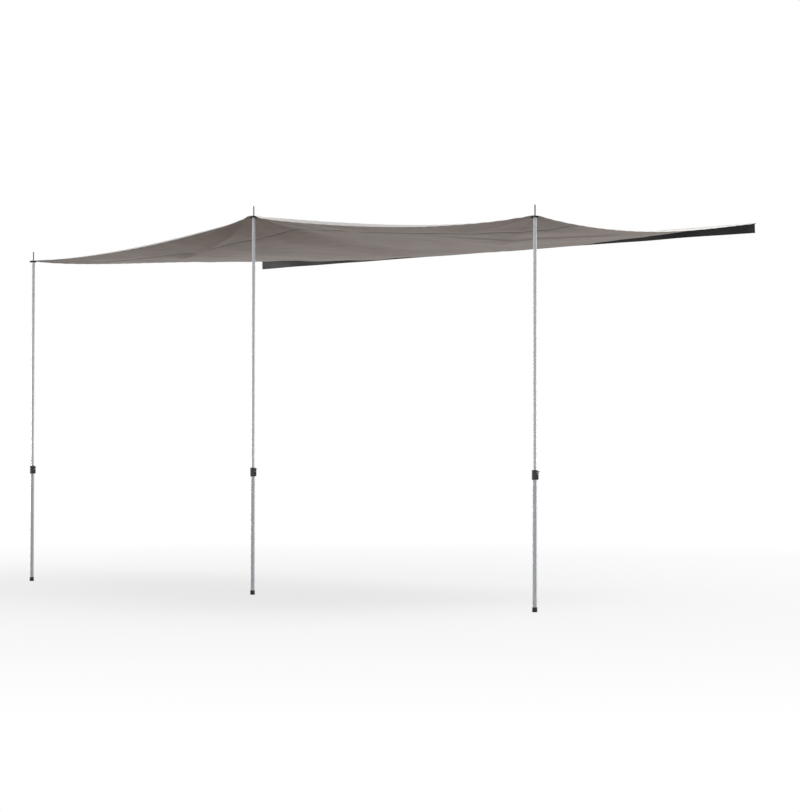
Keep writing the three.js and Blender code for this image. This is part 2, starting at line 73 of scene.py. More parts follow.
# How the cloth hangs
SPAN_SAG = {"left": 0.038, "right": 0.045}
SPAN_PEAK_SHARE = {"left": 0.56, "right": 0.60}
SIDE_SAG = {"left": 0.019, "right": 0.063}
SIDE_PEAK_SHARE = {"left": 0.77, "right": 0.56}
BELLY_SAG = 0.077
BELLY_PEAK_SHARE = 0.15
BELLY_TAIL_SHARE = 1.2
BELLY_SPREAD_SHARE = 1.35
HEAD_FLAT_RADIUS = 0.022
HEAD_BLEND_RADIUS = 0.085
FRONT_HEM_WIDTH = 0.040
SIDE_HEM_WIDTH = 0.025
BACK_HEM_WIDTH = 0.022
FRONT_STRIP_WIDTH = 0.393
HEM_ROLL = {"left": math.radians(25), "right": math.radians(29)}
ROLL_PEAK_SHARE = {"left": 0.33, "right": 0.27}
ROLL_STILL = 0.035
ROLL_START = 0.030
ROLL_RUN = 0.050
SIDE_ROLL = math.radians(16)
FOLD_FADE_SHARE = 0.3
FOLD_CREST_SHARE = 0.5
FOLD_CREST_SHARPNESS = 3.2
# From and to as shares of the pole spacing across and of the depth forward, then depth and half width
FOLDS = (
    ((-0.02, 0.99), (-0.55, 0.44), 0.003, 0.060),
    ((-0.05, 0.985), (-0.72, 0.699), 0.019, 0.080),
    ((0.38, 0.78), (1.0, 0.437), 0.0055, 0.050),
    ((0.96, 0.98), (0.3, 0.3), 0.008, 0.120),
)

# Cloth, seams and stitches
CLOTH = 0.0006
GAP = 0.0002
SEAM_WIDTH = 0.014
SEAM_RISE = 0.0045
STITCH_PITCH = 0.0055
STITCH_LENGTH = 0.0040
STITCH_WIDTH = 0.0008
STITCH_HEIGHT = 0.0004
STITCH_INSET = 0.0030
GRID_STEP = 0.010
FINE_STEP = 0.004
HOLE_CELLS = 2
BLOCK_CELLS = 4
LAYER_BORE = 0.00585
TAB_SIDE = 0.016
TAB_REACH = 0.014
TAB_THICKNESS = 0.0012
TAB_DROOP = 0.008
TAB_DROOP_START = 0.0095
PATCH_REACH = 0.021
PATCH_THICKNESS = 0.0009
PATCH_POINTS = 24
HEM_LINE = CANOPY_DEPTH + HEM_EDGE - FRONT_HEM_WIDTH
CLOTH_FRONT = CANOPY_DEPTH + HEM_EDGE
SEAM_LINE = HEM_LINE - FRONT_STRIP_WIDTH
HEAD_XS = [head.x for head in HEADS.values()]
BLOCK_REACH = BLOCK_CELLS * FINE_STEP
SEAM_REACH = 0.032
FOLD_RADIUS = CLOTH + GAP / 2
HEM_LOW = -CLOTH * 1.5 - GAP
HEM_HIGH = -CLOTH / 2 - GAP
HEM_END = 0.001
ACROSS_POINTS = 425
FORWARD_POINTS = 221
LAYER_SHARP = 50
SEAM_POINTS = 521
SEAM_SHARP = 60
SEAM_SLOPE = 0.0006
SEAM_CROWN_SHARE = 1.15
SEAM_HEIGHT = {"under": 0.0012, "top": 0.0005}
SEAM_THREAD_HEIGHT = {"under": 0.0010, "top": 0.0006}
SEAM_ROWS = (-0.0045, 0.0045)
STITCH_END = 0.004
BINDING = 0.0009
HALF_WEB = 0.0006
EYELET_BARREL = 0.005
EYELET_WALL = 0.0007
EYELET_ROLL = 0.0011
EYELET_SHARP = 60

scene = bpy.context.scene


# Camera


def add_camera():
    data = bpy.data.cameras.new("camera")
    data.sensor_fit = "VERTICAL"
    data.sensor_height = SENSOR_HEIGHT_MM
    data.lens = FOCAL_PIXELS * SENSOR_HEIGHT_MM / IMAGE_HEIGHT_PIXELS
    data.clip_end = 200
    camera = bpy.data.objects.new("camera", data)
    turn = Matrix.Rotation(CAMERA_YAW, 4, "Z") @ Matrix.Rotation(math.pi / 2 + CAMERA_PITCH, 4, "X")
    camera.matrix_world = Matrix.Translation(CAMERA_PLACE) @ turn @ Matrix.Rotation(CAMERA_ROLL, 4, "Z")
    scene.collection.objects.link(camera)
    scene.camera = camera


add_camera()


# Meshes


ROUND_STEPS = 4


def mesh_object(name, points, faces, materials, face_materials=None, sharp=None):
    """A mesh object. Edges stay sharp above the angle sharp, in degrees; without it all edges are smooth."""
    mesh = bpy.data.meshes.new(name)
    if isinstance(faces, np.ndarray):
        faces = faces.tolist()
    mesh.from_pydata(np.asarray(points, float).tolist(), [], faces)
    mesh.validate()
    for material in materials:
        mesh.materials.append(material)
    if face_materials is not None:
        mesh.polygons.foreach_set("material_index", np.asarray(face_materials, np.int32))
    mesh.polygons.foreach_set("use_smooth", np.ones(len(mesh.polygons), bool))
    mesh.update()
    if sharp is not None:
        mesh.set_sharp_from_angle(angle=math.radians(sharp))
    obj = bpy.data.objects.new(name, mesh)
    scene.collection.objects.link(obj)
    return obj


def swept(rings):
    """Points and faces of a bar through rings of equal length, each a closed outline."""
    count, size = rings.shape[:2]
    faces = []
    for start in range(0, (count - 1) * size, size):
        for k in range(size):
            after = (k + 1) % size
            faces.append((start + k, start + after, start + size + after, start + size + k))
    faces.append(tuple(reversed(range(size))))
    faces.append(tuple((count - 1) * size + k for k in range(size)))
    return rings.reshape(-1, 3), faces


def joined(parts):
    """Points and faces of several parts in one."""
    points, faces, start = [], [], 0
    for part_points, part_faces in parts:
        points.append(np.asarray(part_points, float))
        faces.extend(tuple(int(v) + start for v in face) for face in part_faces)
        start += len(part_points)
    return np.concatenate(points), faces


def turned(profile, place, segments=72, ripple=None):
    """Points and faces of a body of revolution about Z from (radius, height) points.

    The profile is a closed loop, or runs from the axis to the axis."""
    open_ended = profile[0][0] == 0 and profile[-1][0] == 0
    inner = profile[1:-1] if open_ended else profile
    angles = np.arange(segments) * 2 * math.pi / segments
    rows = []
    for radius, height in inner:
        reach = radius + (ripple(angles, radius) if ripple else 0)
        rows.append(np.stack([reach * np.cos(angles), reach * np.sin(angles), np.full(segments, height)], -1))
    points = np.concatenate(rows)
    faces = []
    count = len(inner)
    for i in range(count - 1 if open_ended else count):
        below, above = i * segments, ((i + 1) % count) * segments
        for k in range(segments):
            after = (k + 1) % segments
            faces.append((below + k, below + after, above + after, above + k))
    if open_ended:
        first, last = len(points), len(points) + 1
        points = np.concatenate([points, [[0, 0, profile[0][1]], [0, 0, profile[-1][1]]]])
        top = (count - 1) * segments
        for k in range(segments):
            after = (k + 1) % segments
            faces.append((first, after, k))
            faces.append((last, top + k, top + after))
    return points + np.array(place), faces


def rounded(corners, radius):
    """An outline with rounded corners."""
    out = []
    for i, corner in enumerate(corners):
        here = Vector(corner)
        before = Vector(corners[i - 1]) - here
        after = Vector(corners[(i + 1) % len(corners)]) - here
        reach = min(radius, before.length / 2, after.length / 2)
        start, end = here + before.normalized() * reach, here + after.normalized() * reach
        for step in range(ROUND_STEPS + 1):
            t = step / ROUND_STEPS
            point = start * (1 - t) ** 2 + here * 2 * t * (1 - t) + end * t**2
            out.append((point.x, point.y))
    return out


def plate(outlines, half_width, bevel, steps=2):
    """Points and faces of a flat plate with bevelled edges, thick along Z.

    It has closed outlines in its own XY, the first one outside."""
    curve = bpy.data.curves.new("plate", "CURVE")
    curve.dimensions = "2D"
    curve.fill_mode = "BOTH"
    curve.extrude = half_width - bevel
    curve.bevel_depth = bevel
    curve.bevel_resolution = steps
    curve.offset = -bevel
    for outline in outlines:
        spline = curve.splines.new("POLY")
        spline.points.add(len(outline) - 1)
        for point, (x, y) in zip(spline.points, outline):
            point.co = (x, y, 0, 1)
        spline.use_cyclic_u = True
    holder = bpy.data.objects.new("plate", curve)
    scene.collection.objects.link(holder)
    bpy.context.view_layer.update()
    mesh = bpy.data.meshes.new_from_object(holder.evaluated_get(bpy.context.evaluated_depsgraph_get()))
    bpy.data.objects.remove(holder)
    points = np.array([v.co for v in mesh.vertices])
    faces = [tuple(p.vertices) for p in mesh.polygons]
    bpy.data.meshes.remove(mesh)
    return points, faces


def moved(part, matrix):
    points, faces = part
    turn = np.array(matrix.to_3x3())
    return points @ turn.T + np.array(matrix.translation), faces


def arc(centre, radius, start, end, count):
    """Points on a circle from a start angle to an end angle."""
    angles = np.linspace(start, end, count)
    return [(centre[0] + radius * math.cos(a), centre[1] + radius * math.sin(a)) for a in angles]


# Materials


def add_node(tree, kind, inputs, **settings):
    """A new node of a tree with its settings. Its inputs take values or are linked to outputs."""
    node = tree.nodes.new("ShaderNode" + kind)
    for key, value in settings.items():
        setattr(node, key, value)
    for key, value in inputs.items():
        if hasattr(value, "is_linked"):
            tree.links.new(value, node.inputs[key])
        else:
            node.inputs[key].default_value = value
    return node


class Look:
    """A node material with short calls for its textures."""

    def __init__(self, name, roughness, metallic=0.0):
        self.material = bpy.data.materials.new(name)
        self.material.use_nodes = True
        self.tree = self.material.node_tree
        self.shader = self.tree.nodes["Principled BSDF"]
        self.shader.inputs["Roughness"].default_value = roughness
        self.shader.inputs["Metallic"].default_value = metallic
        self.shader.inputs["Base Color"].default_value = (0.5, 0.5, 0.5, 1)
        self.coords = self.tree.nodes.new("ShaderNodeTexCoord").outputs["Object"]

    def node(self, kind, inputs, **settings):
        return add_node(self.tree, kind, inputs, **settings)

    def scaled(self, scale, turn=(0, 0, 0)):
        inputs = {"Vector": self.coords, "Scale": scale, "Rotation": turn}
        return self.node("Mapping", inputs).outputs["Vector"]

    def noise(self, scale, detail, rough, vector=None, distortion=0.0):
        inputs = {"Vector": vector or self.coords, "Scale": scale, "Detail": detail}
        inputs |= {"Roughness": rough, "Distortion": distortion}
        return self.node("TexNoise", inputs).outputs["Fac"]

    def bands(self, scale, axis, distortion, vector=None):
        inputs = {"Vector": vector or self.coords, "Scale": scale, "Distortion": distortion, "Detail": 1.0}
        return self.node("TexWave", inputs, wave_type="BANDS", bands_direction=axis).outputs["Fac"]

    def cells(self, scale):
        return self.node("TexVoronoi", {"Vector": self.coords, "Scale": scale}).outputs["Distance"]

    def math(self, kind, a, b):
        return self.node("Math", {0: a, 1: b}, operation=kind).outputs[0]

    def span(self, value, low, high, to_low, to_high):
        inputs = {"Value": value, "From Min": low, "From Max": high, "To Min": to_low, "To Max": to_high}
        return self.node("MapRange", inputs).outputs["Result"]

    def noise_span(self, value, to_low, to_high):
        """A span over the values that a noise mostly has."""
        return self.span(value, 0.3, 0.7, to_low, to_high)

    def mix(self, factor, a, b):
        a, b = (color if hasattr(color, "is_linked") else (*color, 1) for color in (a, b))
        return self.node("Mix", {0: factor, 6: a, 7: b}, data_type="RGBA").outputs[2]

    def clouded(self, value, dark, light):
        """A colour between dark and light by a noise."""
        return self.mix(self.noise_span(value, 0.0, 1.0), dark, light)

    def bump(self, height, distance, strength, under=None):
        inputs = {"Height": height, "Distance": distance, "Strength": strength}
        if under is not None:
            inputs["Normal"] = under
        return self.node("Bump", inputs).outputs["Normal"]

    def finish(self, color=None, roughness=None, normal=None):
        for key, value in (("Base Color", color), ("Roughness", roughness), ("Normal", normal)):
            if value is not None:
                self.tree.links.new(value, self.shader.inputs[key])
        return self.material


def shade(color, factor):
    return tuple(min(1.0, c * factor) for c in color)


def srgb(*levels):
    """Linear colour from sRGB levels of 0 to 255."""
    return tuple((v / 255 / 12.92) if v < 11 else ((v / 255 + 0.055) / 1.055) ** 2.4 for v in levels)


WEAVE_PITCH = 0.0007
WEBBING_PITCH = 0.0016


def cloth_look(name, color, flat_axes=("X", "Y"), roughness=0.78, mottle=0.05, sheen=0.12):
    """Coated woven polyester: plain weave, faint creases from packing and handling, soft mottling."""
    look = Look(name, roughness)
    warp = look.bands(1 / WEAVE_PITCH / 2, flat_axes[0], 0.4)
    weft = look.bands(1 / WEAVE_PITCH / 2, flat_axes[1], 0.4)
    threads = look.math("MULTIPLY", warp, weft)
    creases = look.noise(9.0, 4.0, 0.62, distortion=0.6)
    soft = look.noise(2.3, 2.0, 0.5)
    fine = look.noise(420.0, 2.0, 0.6)
    normal = look.bump(creases, 0.006, 0.35)
    normal = look.bump(fine, 0.00012, 0.5, normal)
    normal = look.bump(threads, 0.00012, 0.35, normal)
    base = look.clouded(soft, shade(color, 1 - mottle), shade(color, 1 + mottle))
    speck = look.span(fine, 0.35, 0.65, 0.0, 0.10)
    base = look.mix(speck, base, shade(color, 0.78))
    rough = look.noise_span(creases, roughness - 0.07, roughness + 0.07)
    look.shader.inputs["Sheen Weight"].default_value = sheen
    look.shader.inputs["Sheen Roughness"].default_value = 0.5
    look.shader.inputs["Specular IOR Level"].default_value = 0.35
    return look.finish(base, rough, normal)


def webbing_look(name, color):
    """Polyester webbing with a coarse diagonal weave."""
    look = Look(name, 0.85)
    diagonal = look.scaled((1, 1, 1), (0, 0, math.radians(38)))
    ribs = look.bands(1 / WEBBING_PITCH / 2, "X", 0.8, diagonal)
    cross = look.bands(1 / WEBBING_PITCH, "Y", 0.8)
    weave = look.math("MULTIPLY", ribs, cross)
    base = look.mix(weave, shade(color, 0.7), shade(color, 1.5))
    return look.finish(base, None, look.bump(weave, 0.0004, 0.8))


def thread_look(name, color):
    look = Look(name, 0.6)
    twist = look.bands(900.0, "DIAGONAL", 1.0)
    base = look.mix(twist, shade(color, 0.85), color)
    return look.finish(base, None, look.bump(twist, 0.0001, 0.6))


def tube_look(name, color):
    """Galvanised steel tube: fine lines drawn along it, faint clouds in the zinc and small scuffs."""
    look = Look(name, 0.42, 0.45)
    lines = look.noise(1.0, 3.0, 0.6, look.scaled((900, 900, 6)))
    clouds = look.noise(38.0, 4.0, 0.6)
    scuffs = look.noise(1.0, 2.0, 0.7, look.scaled((260, 260, 30)))
    scuffed = look.span(scuffs, 0.62, 0.72, 0.0, 0.35)
    base = look.clouded(clouds, shade(color, 0.92), shade(color, 1.08))
    base = look.mix(look.span(lines, 0.35, 0.65, 0.0, 0.22), base, shade(color, 0.72))
    base = look.mix(scuffed, base, shade(color, 0.8))
    rough = look.math("ADD", look.noise_span(clouds, 0.36, 0.48), look.math("MULTIPLY", scuffed, 0.2))
    normal = look.bump(lines, 0.00005, 0.5)
    return look.finish(base, rough, look.bump(clouds, 0.0002, 0.15, normal))


def zinc_look(name, color, roughness=0.3):
    """Zinc plated small parts with a slightly crystalline surface."""
    look = Look(name, roughness, 1.0)
    crystals = look.cells(420.0)
    clouds = look.noise(90.0, 3.0, 0.5)
    base = look.clouded(clouds, shade(color, 0.86), shade(color, 1.1))
    rough = look.span(crystals, 0.0, 0.8, roughness - 0.08, roughness + 0.12)
    return look.finish(base, rough, look.bump(clouds, 0.0001, 0.3))


def plastic_look(name, color, roughness=0.5, grain=900.0):
    """Moulded plastic with a fine grain, rubbed a little lighter in places."""
    look = Look(name, roughness)
    pits = look.noise(grain, 2.0, 0.5)
    wear = look.noise(55.0, 4.0, 0.65)
    base = look.mix(look.span(wear, 0.45, 0.75, 0.0, 0.45), color, shade(color, 1.9))
    rough = look.noise_span(wear, roughness - 0.08, roughness + 0.1)
    return look.finish(base, rough, look.bump(pits, 0.0001, 0.4))


def rubber_look(name, color):
    """Rubber, matt, with pale dust that is thicker in places."""
    look = Look(name, 0.85)
    dust = look.noise(70.0, 5.0, 0.7)
    grit = look.noise(1400.0, 2.0, 0.5)
    base = look.mix(look.span(dust, 0.45, 0.8, 0.0, 0.5), color, srgb(120, 116, 110))
    return look.finish(base, None, look.bump(grit, 0.0002, 0.5))


UNDERSIDE = srgb(115, 100, 89)
# OUTER_FACE's pale colour is painted light: it stands in for sun and sky light falling on the top face of the
# taupe cloth.
OUTER_FACE = srgb(219, 216, 213)
under_material = cloth_look("cloth_underside", UNDERSIDE)
outer_material = cloth_look("cloth_outer_face_painted_light", OUTER_FACE, mottle=0.02, sheen=0.02)
# The seam's under side is darker than the cloth: painted shade, standing in for the shadowed groove along the
# seam.
shaded_seam_material = cloth_look("seam_underside_painted_shade", srgb(82, 75, 69))
# The hem folds' under sides and edges are darker than the cloth: painted shade, standing in for the shadowed
# line along the rolled hem.
shaded_hem_material = cloth_look("hem_underside_painted_shade", srgb(92, 84, 78))
band_material = cloth_look("black_band", srgb(52, 53, 55), ("X", "Z"), 0.62, mottle=0.12, sheen=0.05)
webbing_material = webbing_look("black_webbing", srgb(38, 38, 39))
thread_pale = thread_look("pale_thread", srgb(196, 192, 187))
thread_taupe = thread_look("taupe_thread", srgb(108, 101, 95))
thread_black = thread_look("black_thread", srgb(44, 44, 46))
bead_material = plastic_look("bead_vinyl", srgb(70, 72, 74), 0.42, 500.0)
upper_tube_material = tube_look("upper_tube_steel", srgb(190, 192, 195))
lower_tube_material = tube_look("lower_tube_steel", srgb(176, 178, 181))
zinc_material = zinc_look("zinc_plate", srgb(186, 189, 193))
spike_material = zinc_look("spike_steel", srgb(112, 114, 117), 0.5)
plastic_material = plastic_look("black_plastic", srgb(46, 47, 49))
lever_material = plastic_look("lever_plastic", srgb(40, 41, 43), 0.42, 700.0)
rubber_material = rubber_look("foot_rubber", srgb(44, 44, 45))
nylon_material = plastic_look("natural_nylon", srgb(206, 203, 195), 0.45, 600.0)


# The cloth's surface


def smoothstep(value, low, high):
    t = np.clip((value - low) / (high - low), 0, 1)
    return t * t * (3 - 2 * t)


def arch(share, peak=0.5):
    """0 at both ends and 1 at the peak's place."""
    bent = np.clip(share, 0, 1) ** (math.log(0.5) / math.log(peak))
    return 4 * bent * (1 - bent)


def belly(share):
    """0 at the back edge, 1 a little in front of it, and 0 again at the front."""
    rise = BELLY_TAIL_SHARE * BELLY_PEAK_SHARE**2 / (1 - BELLY_PEAK_SHARE * (1 + BELLY_TAIL_SHARE))
    top = BELLY_PEAK_SHARE / (BELLY_PEAK_SHARE + rise) * (1 - BELLY_PEAK_SHARE) ** BELLY_TAIL_SHARE
    return share / (share + rise) * (1 - share) ** BELLY_TAIL_SHARE / top


def along_span(x):
    """How far out from the middle pole a place on the front edge lies, and the length of its span."""
    span = np.where(x < MIDDLE, POLE_SPACING + MIDDLE, POLE_SPACING - MIDDLE)
    return np.minimum(np.abs(x - MIDDLE), span), span


def front_edge_height(x):
    out, span = along_span(x)
    share = out / span
    heights = {}
    for side in ("left", "right"):
        sag = SPAN_SAG[side] * arch(share, SPAN_PEAK_SHARE[side])
        heights[side] = MIDDLE_RISE - (MIDDLE_RISE + CORNER_DROP[side]) * share - sag
    return np.where(x < MIDDLE, heights["left"], heights["right"])


def fold_depth(x, y):
    depth = 0
    for (x_from, y_from), (x_to, y_to), deep, half_width in FOLDS:
        start = np.array([x_from * POLE_SPACING, -y_from * CANOPY_DEPTH])
        along = np.array([x_to * POLE_SPACING, -y_to * CANOPY_DEPTH]) - start
        length = np.hypot(*along)
        dx, dy = x - start[0], y - start[1]
        share = (dx * along[0] + dy * along[1]) / length**2
        across = (dx * along[1] - dy * along[0]) / length / half_width
        ends = smoothstep(share, 0, FOLD_FADE_SHARE) * (1 - smoothstep(share, 1 - FOLD_FADE_SHARE, 1))
        soft = np.exp(-(across**2))
        crest = np.exp(-((across * FOLD_CREST_SHARPNESS) ** 2))
        depth = depth + deep * (ends * soft + FOLD_CREST_SHARE * ends**2 * crest)
    return depth


def waves(x, y, seed, count, shortest, longest, height):
    """A sum of long sine waves whose lengths and directions are drawn from the seed."""
    draw = np.random.default_rng(seed)
    total = 0
    for _ in range(count):
        length = draw.uniform(shortest, longest)
        angle = draw.uniform(-math.pi, math.pi)
        phase = draw.uniform(0, 2 * math.pi)
        total = total + np.sin(2 * math.pi / length * (x * math.cos(angle) + y * math.sin(angle)) + phase)
    return total * height / math.sqrt(count)


# Small tension ridges at each head: angle in degrees from +X, half width in degrees, height, reach
HEAD_RIDGES = {
    "left": (
        (78, 4, 0.0035, 0.28),
        (62, 5, -0.0030, 0.35),
        (44, 5, 0.0032, 0.42),
        (25, 4, -0.0025, 0.30),
        (11, 3, 0.0022, 0.25),
    ),
    "middle": (
        (10, 3, 0.0025, 0.22),
        (28, 5, -0.0030, 0.34),
        (49, 5, 0.0030, 0.40),
        (71, 6, -0.0034, 0.36),
        (96, 5, 0.0032, 0.42),
        (118, 5, -0.0030, 0.38),
        (168, 4, 0.0030, 0.30),
    ),
    "right": (
        (101, 4, 0.0032, 0.30),
        (119, 5, -0.0030, 0.36),
        (137, 5, 0.0030, 0.40),
        (155, 4, -0.0024, 0.32),
        (169, 3, 0.0024, 0.24),
    ),
}


def head_ridges(x, y):
    height = 0
    for side, ridges in HEAD_RIDGES.items():
        dx, dy = x - HEADS[side].x, y - HEADS[side].y
        distance = np.hypot(dx, dy)
        angle = np.degrees(np.arctan2(dy, dx))
        for centre, half_width, high, reach in ridges:
            rise = distance / reach * np.exp(1 - distance / reach)
            height = height + high * rise * np.exp(-(((angle - centre) / half_width) ** 2))
    return height


# Waves: seed, count, shortest and longest length, height
SOFT_WAVES = (11, 7, 0.35, 0.95, 0.0028)
SMALL_WAVES = (12, 6, 0.14, 0.30, 0.0006)
WAVES_FROM_EDGE = 0.35
WAVES_FROM_BACK = 0.25
SEAM_FADE = 0.022
# Ripples: height, reach, pitch, how far the pitch wanders, how fast it wanders
SEAM_PUCKERS = (0.0013, SEAM_FADE, 0.043, 0.6, 9.0)
FRONT_RIPPLES = (0.0014, 0.075, 0.092, 0.35, 5.1)
SIDE_RIPPLES = (0.0006, 0.06, 0.105, 0.4, 4.1)
BACK_GATHERS = (0.0022, 0.16, 0.16, 0.5, 2.3)
SEAM_SLANT = 18
SEAM_RISE_FULL = 0.3


def ripples(kind, along, away, phase=0.0):
    """Ripples along a line that fade with the distance away from it."""
    height, reach, pitch, wander, rate = kind
    turns = along / pitch + wander * np.sin(along * rate)
    return height * np.sin(2 * math.pi * turns + phase) * np.exp(-np.maximum(away, 0) / reach)


def patchy(middle, phase):
    """A share up to 1 that swings about its middle."""
    return middle + (1 - middle) * np.sin(phase)


def wrinkles(x, y):
    """Small unevenness: soft waves, puckers along hems and seam, and gathers at the back edge."""
    from_side, from_front, from_seam = OUTER_EDGE - np.abs(x), y + CLOTH_FRONT, np.abs(y + SEAM_LINE)
    inside = smoothstep(np.minimum(from_side, from_front), 0, WAVES_FROM_EDGE)
    inside = inside * smoothstep(-y, 0, WAVES_FROM_BACK)
    height = (waves(x, y, *SOFT_WAVES) + waves(x, y, *SMALL_WAVES)) * inside
    rise = SEAM_RISE * smoothstep(from_side, SIDE_HEM_WIDTH, SEAM_RISE_FULL)
    height = height + rise * np.exp(-from_seam / SEAM_FADE)
    puckers = ripples(SEAM_PUCKERS, x, from_seam, y * SEAM_SLANT)
    height = height + patchy(0.55, x * 7.3 + 1.2 * np.sin(x * 3.1)) * puckers
    height = height + patchy(0.6, x * 4.7) * ripples(FRONT_RIPPLES, x, from_front, 0.7)
    at_side = ripples(SIDE_RIPPLES, y, from_side, np.where(x < 0, 0.0, 2.1))
    height = height + at_side * smoothstep(-y, 0.02, 0.2)
    height = height + ripples(BACK_GATHERS, x, -y) * smoothstep(-y, 0.0, 0.06)
    return height + head_ridges(x, y)


def cloth_height(x, y):
    forward = np.clip(-y / CANOPY_DEPTH, 0, 1)
    across = np.clip((x / POLE_SPACING + 1) / 2, 0, 1)
    left = SIDE_SAG["left"] * arch(forward, SIDE_PEAK_SHARE["left"])
    right = SIDE_SAG["right"] * arch(forward, SIDE_PEAK_SHARE["right"])
    spread = (4 * across * (1 - across)) ** BELLY_SPREAD_SHARE
    height = forward * front_edge_height(x) - (1 - across) * left - across * right
    height = height - BELLY_SAG * spread * belly(forward) - fold_depth(x, y) + wrinkles(x, y)
    for head in HEADS.values():
        loose = smoothstep(np.hypot(x - head.x, y - head.y), HEAD_FLAT_RADIUS, HEAD_BLEND_RADIUS)
        height = head.z * (1 - loose) + height * loose
    return height


def hem_roll(x):
    out, span = along_span(x)
    share = (out - ROLL_STILL) / (span - 2 * ROLL_STILL)
    left = HEM_ROLL["left"] * arch(share, ROLL_PEAK_SHARE["left"])
    right = HEM_ROLL["right"] * arch(share, ROLL_PEAK_SHARE["right"])
    return np.where(x < MIDDLE, left, right)


ROLL_SAMPLES = 8
SIDE_ROLL_POWER = 1.5
SIDE_ROLL_BEYOND = 1.2
NORMAL_STEP = 0.0015


def surface(x, way):
    """The cloth's middle surface at x and at a way along the cloth from its back edge.

    The front hem rolls down."""
    start = HEM_LINE - ROLL_START
    rolling = np.maximum(way - start, 0)
    roll = hem_roll(x)
    out, down = 0, 0
    for step in range(ROLL_SAMPLES):
        angle = roll * smoothstep(rolling * (step + 0.5) / ROLL_SAMPLES, 0, ROLL_RUN)
        out = out + np.cos(angle) / ROLL_SAMPLES
        down = down + np.sin(angle) / ROLL_SAMPLES
    y = -np.minimum(way, start) - rolling * out
    side_share = np.clip((np.abs(x) - OUTER_EDGE + SIDE_HEM_WIDTH) / SIDE_HEM_WIDTH, 0, SIDE_ROLL_BEYOND)
    side_angle = SIDE_ROLL * arch(way / CLOTH_FRONT)
    side_drop = SIDE_HEM_WIDTH * side_share**SIDE_ROLL_POWER * np.sin(side_angle) * (x > 0)
    z = cloth_height(x, -np.minimum(way, HEM_LINE)) - rolling * down - side_drop
    return np.stack(np.broadcast_arrays(x, y, z), -1)


def unit(vectors):
    return vectors / np.linalg.norm(vectors, axis=-1, keepdims=True)


def place(x, way, offset):
    """Points at an offset above the middle surface, along its normal."""
    x, way = np.broadcast_arrays(np.asarray(x, float), np.asarray(way, float))
    along = surface(x + NORMAL_STEP, way) - surface(x - NORMAL_STEP, way)
    forward = surface(x, way - NORMAL_STEP) - surface(x, way + NORMAL_STEP)
    return surface(x, way) + unit(np.cross(along, forward)) * np.asarray(offset)[..., None]


def grid_lines(low, high, step, fine_centres, reach=BLOCK_REACH):
    """Sorted lines from low to high, closer together near each fine centre and exactly on its multiples."""
    lines = list(np.linspace(low, high, max(1, round((high - low) / step)) + 1))
    cells = round(reach / FINE_STEP)
    for centre in fine_centres:
        near = [centre + k * FINE_STEP for k in range(-cells, cells + 1)]
        near = [v for v in near if low <= v <= high]
        if near:
            lines = [v for v in lines if v < near[0] - FINE_STEP / 3 or v > near[-1] + FINE_STEP / 3]
            lines += near
    return np.array(sorted(set(lines) | {low, high}))


def pierced(xs, ways):
    """Places of a grid that opens round each pole head's bore, and the cells that are left."""
    x, way = np.meshgrid(xs, ways)
    kept = np.ones((len(ways) - 1, len(xs) - 1), bool)
    middle_x = (x[:-1, :-1] + x[1:, 1:]) / 2
    middle_way = (way[:-1, :-1] + way[1:, 1:]) / 2
    inner, outer = HOLE_CELLS * FINE_STEP, BLOCK_REACH
    for head_x in HEAD_XS:
        dx, dw = x - head_x, way - CANOPY_DEPTH
        square = np.maximum(np.abs(dx), np.abs(dw))
        ring = (square > inner - 1e-6) & (square < outer - 1e-6)
        share = (square - inner) / (outer - inner)
        away = np.maximum(np.hypot(dx, dw), 1e-9)
        pull = share + (1 - share) * LAYER_BORE / away
        x = np.where(ring, head_x + dx * pull, x)
        way = np.where(ring, CANOPY_DEPTH + dw * pull, way)
        kept &= np.maximum(np.abs(middle_x - head_x), np.abs(middle_way - CANOPY_DEPTH)) >= inner
    return x, way, kept


def closed_faces(kept):
    """Faces of a closed layer over a grid's kept cells, the upper side's first, and the number of those."""
    rows, columns = kept.shape[0] + 1, kept.shape[1] + 1
    count = rows * columns
    index = np.arange(count).reshape(rows, columns)
    upper = np.stack([index[:-1, :-1], index[1:, :-1], index[1:, 1:], index[:-1, 1:]], -1)[kept]
    starts, ends = upper.ravel(), np.roll(upper, -1, axis=1).ravel()
    rim = ~np.isin(starts * 2 * count + ends, ends * 2 * count + starts)
    a, b = starts[rim], ends[rim]
    walls = np.stack([b, a, a + count, b + count], -1)
    return np.concatenate([upper, upper[:, ::-1] + count, walls]), len(upper)


def layer(name, xs, ways, low, high, materials, droop=None):
    """A closed layer of cloth between two offsets from the middle surface.

    Its upper side has the last material, and the rest has the first."""
    x, way, kept = pierced(xs, ways)
    shift = droop(x) if droop else 0
    points = np.concatenate([place(x, way, offset + shift).reshape(-1, 3) for offset in (high, low)])
    faces, upper_count = closed_faces(kept)
    used = np.zeros(len(points), bool)
    used[faces.ravel()] = True
    renumber = np.cumsum(used) - 1
    paint = np.where(np.arange(len(faces)) < upper_count, len(materials) - 1, 0)
    return mesh_object(name, points[used], renumber[faces], materials, paint, sharp=LAYER_SHARP)


def declared(obj, body, slot, *replaced):
    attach(obj, body)
    if replaced:
        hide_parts(*replaced)
    return obj


def trim(obj, slot, *replaced):
    """A piece of the canopy that goes with the sheet."""
    declared(obj, "canopy", slot, *replaced)


def add_bar(name, rings, material, slot, *replaced, sharp=LAYER_SHARP):
    trim(mesh_object(name, *swept(rings), [material], sharp=sharp), slot, *replaced)


def add_sheet():
    xs = grid_lines(-OUTER_EDGE, OUTER_EDGE, GRID_STEP, HEAD_XS)
    ways = grid_lines(0, CLOTH_FRONT, GRID_STEP, [SEAM_LINE, CANOPY_DEPTH], SEAM_REACH)
    sheet = layer("canopy_cloth", xs, ways, -CLOTH / 2, CLOTH / 2, [under_material, outer_material])
    return declared(sheet, "canopy", "cloth", "main_panel", "front_strip")


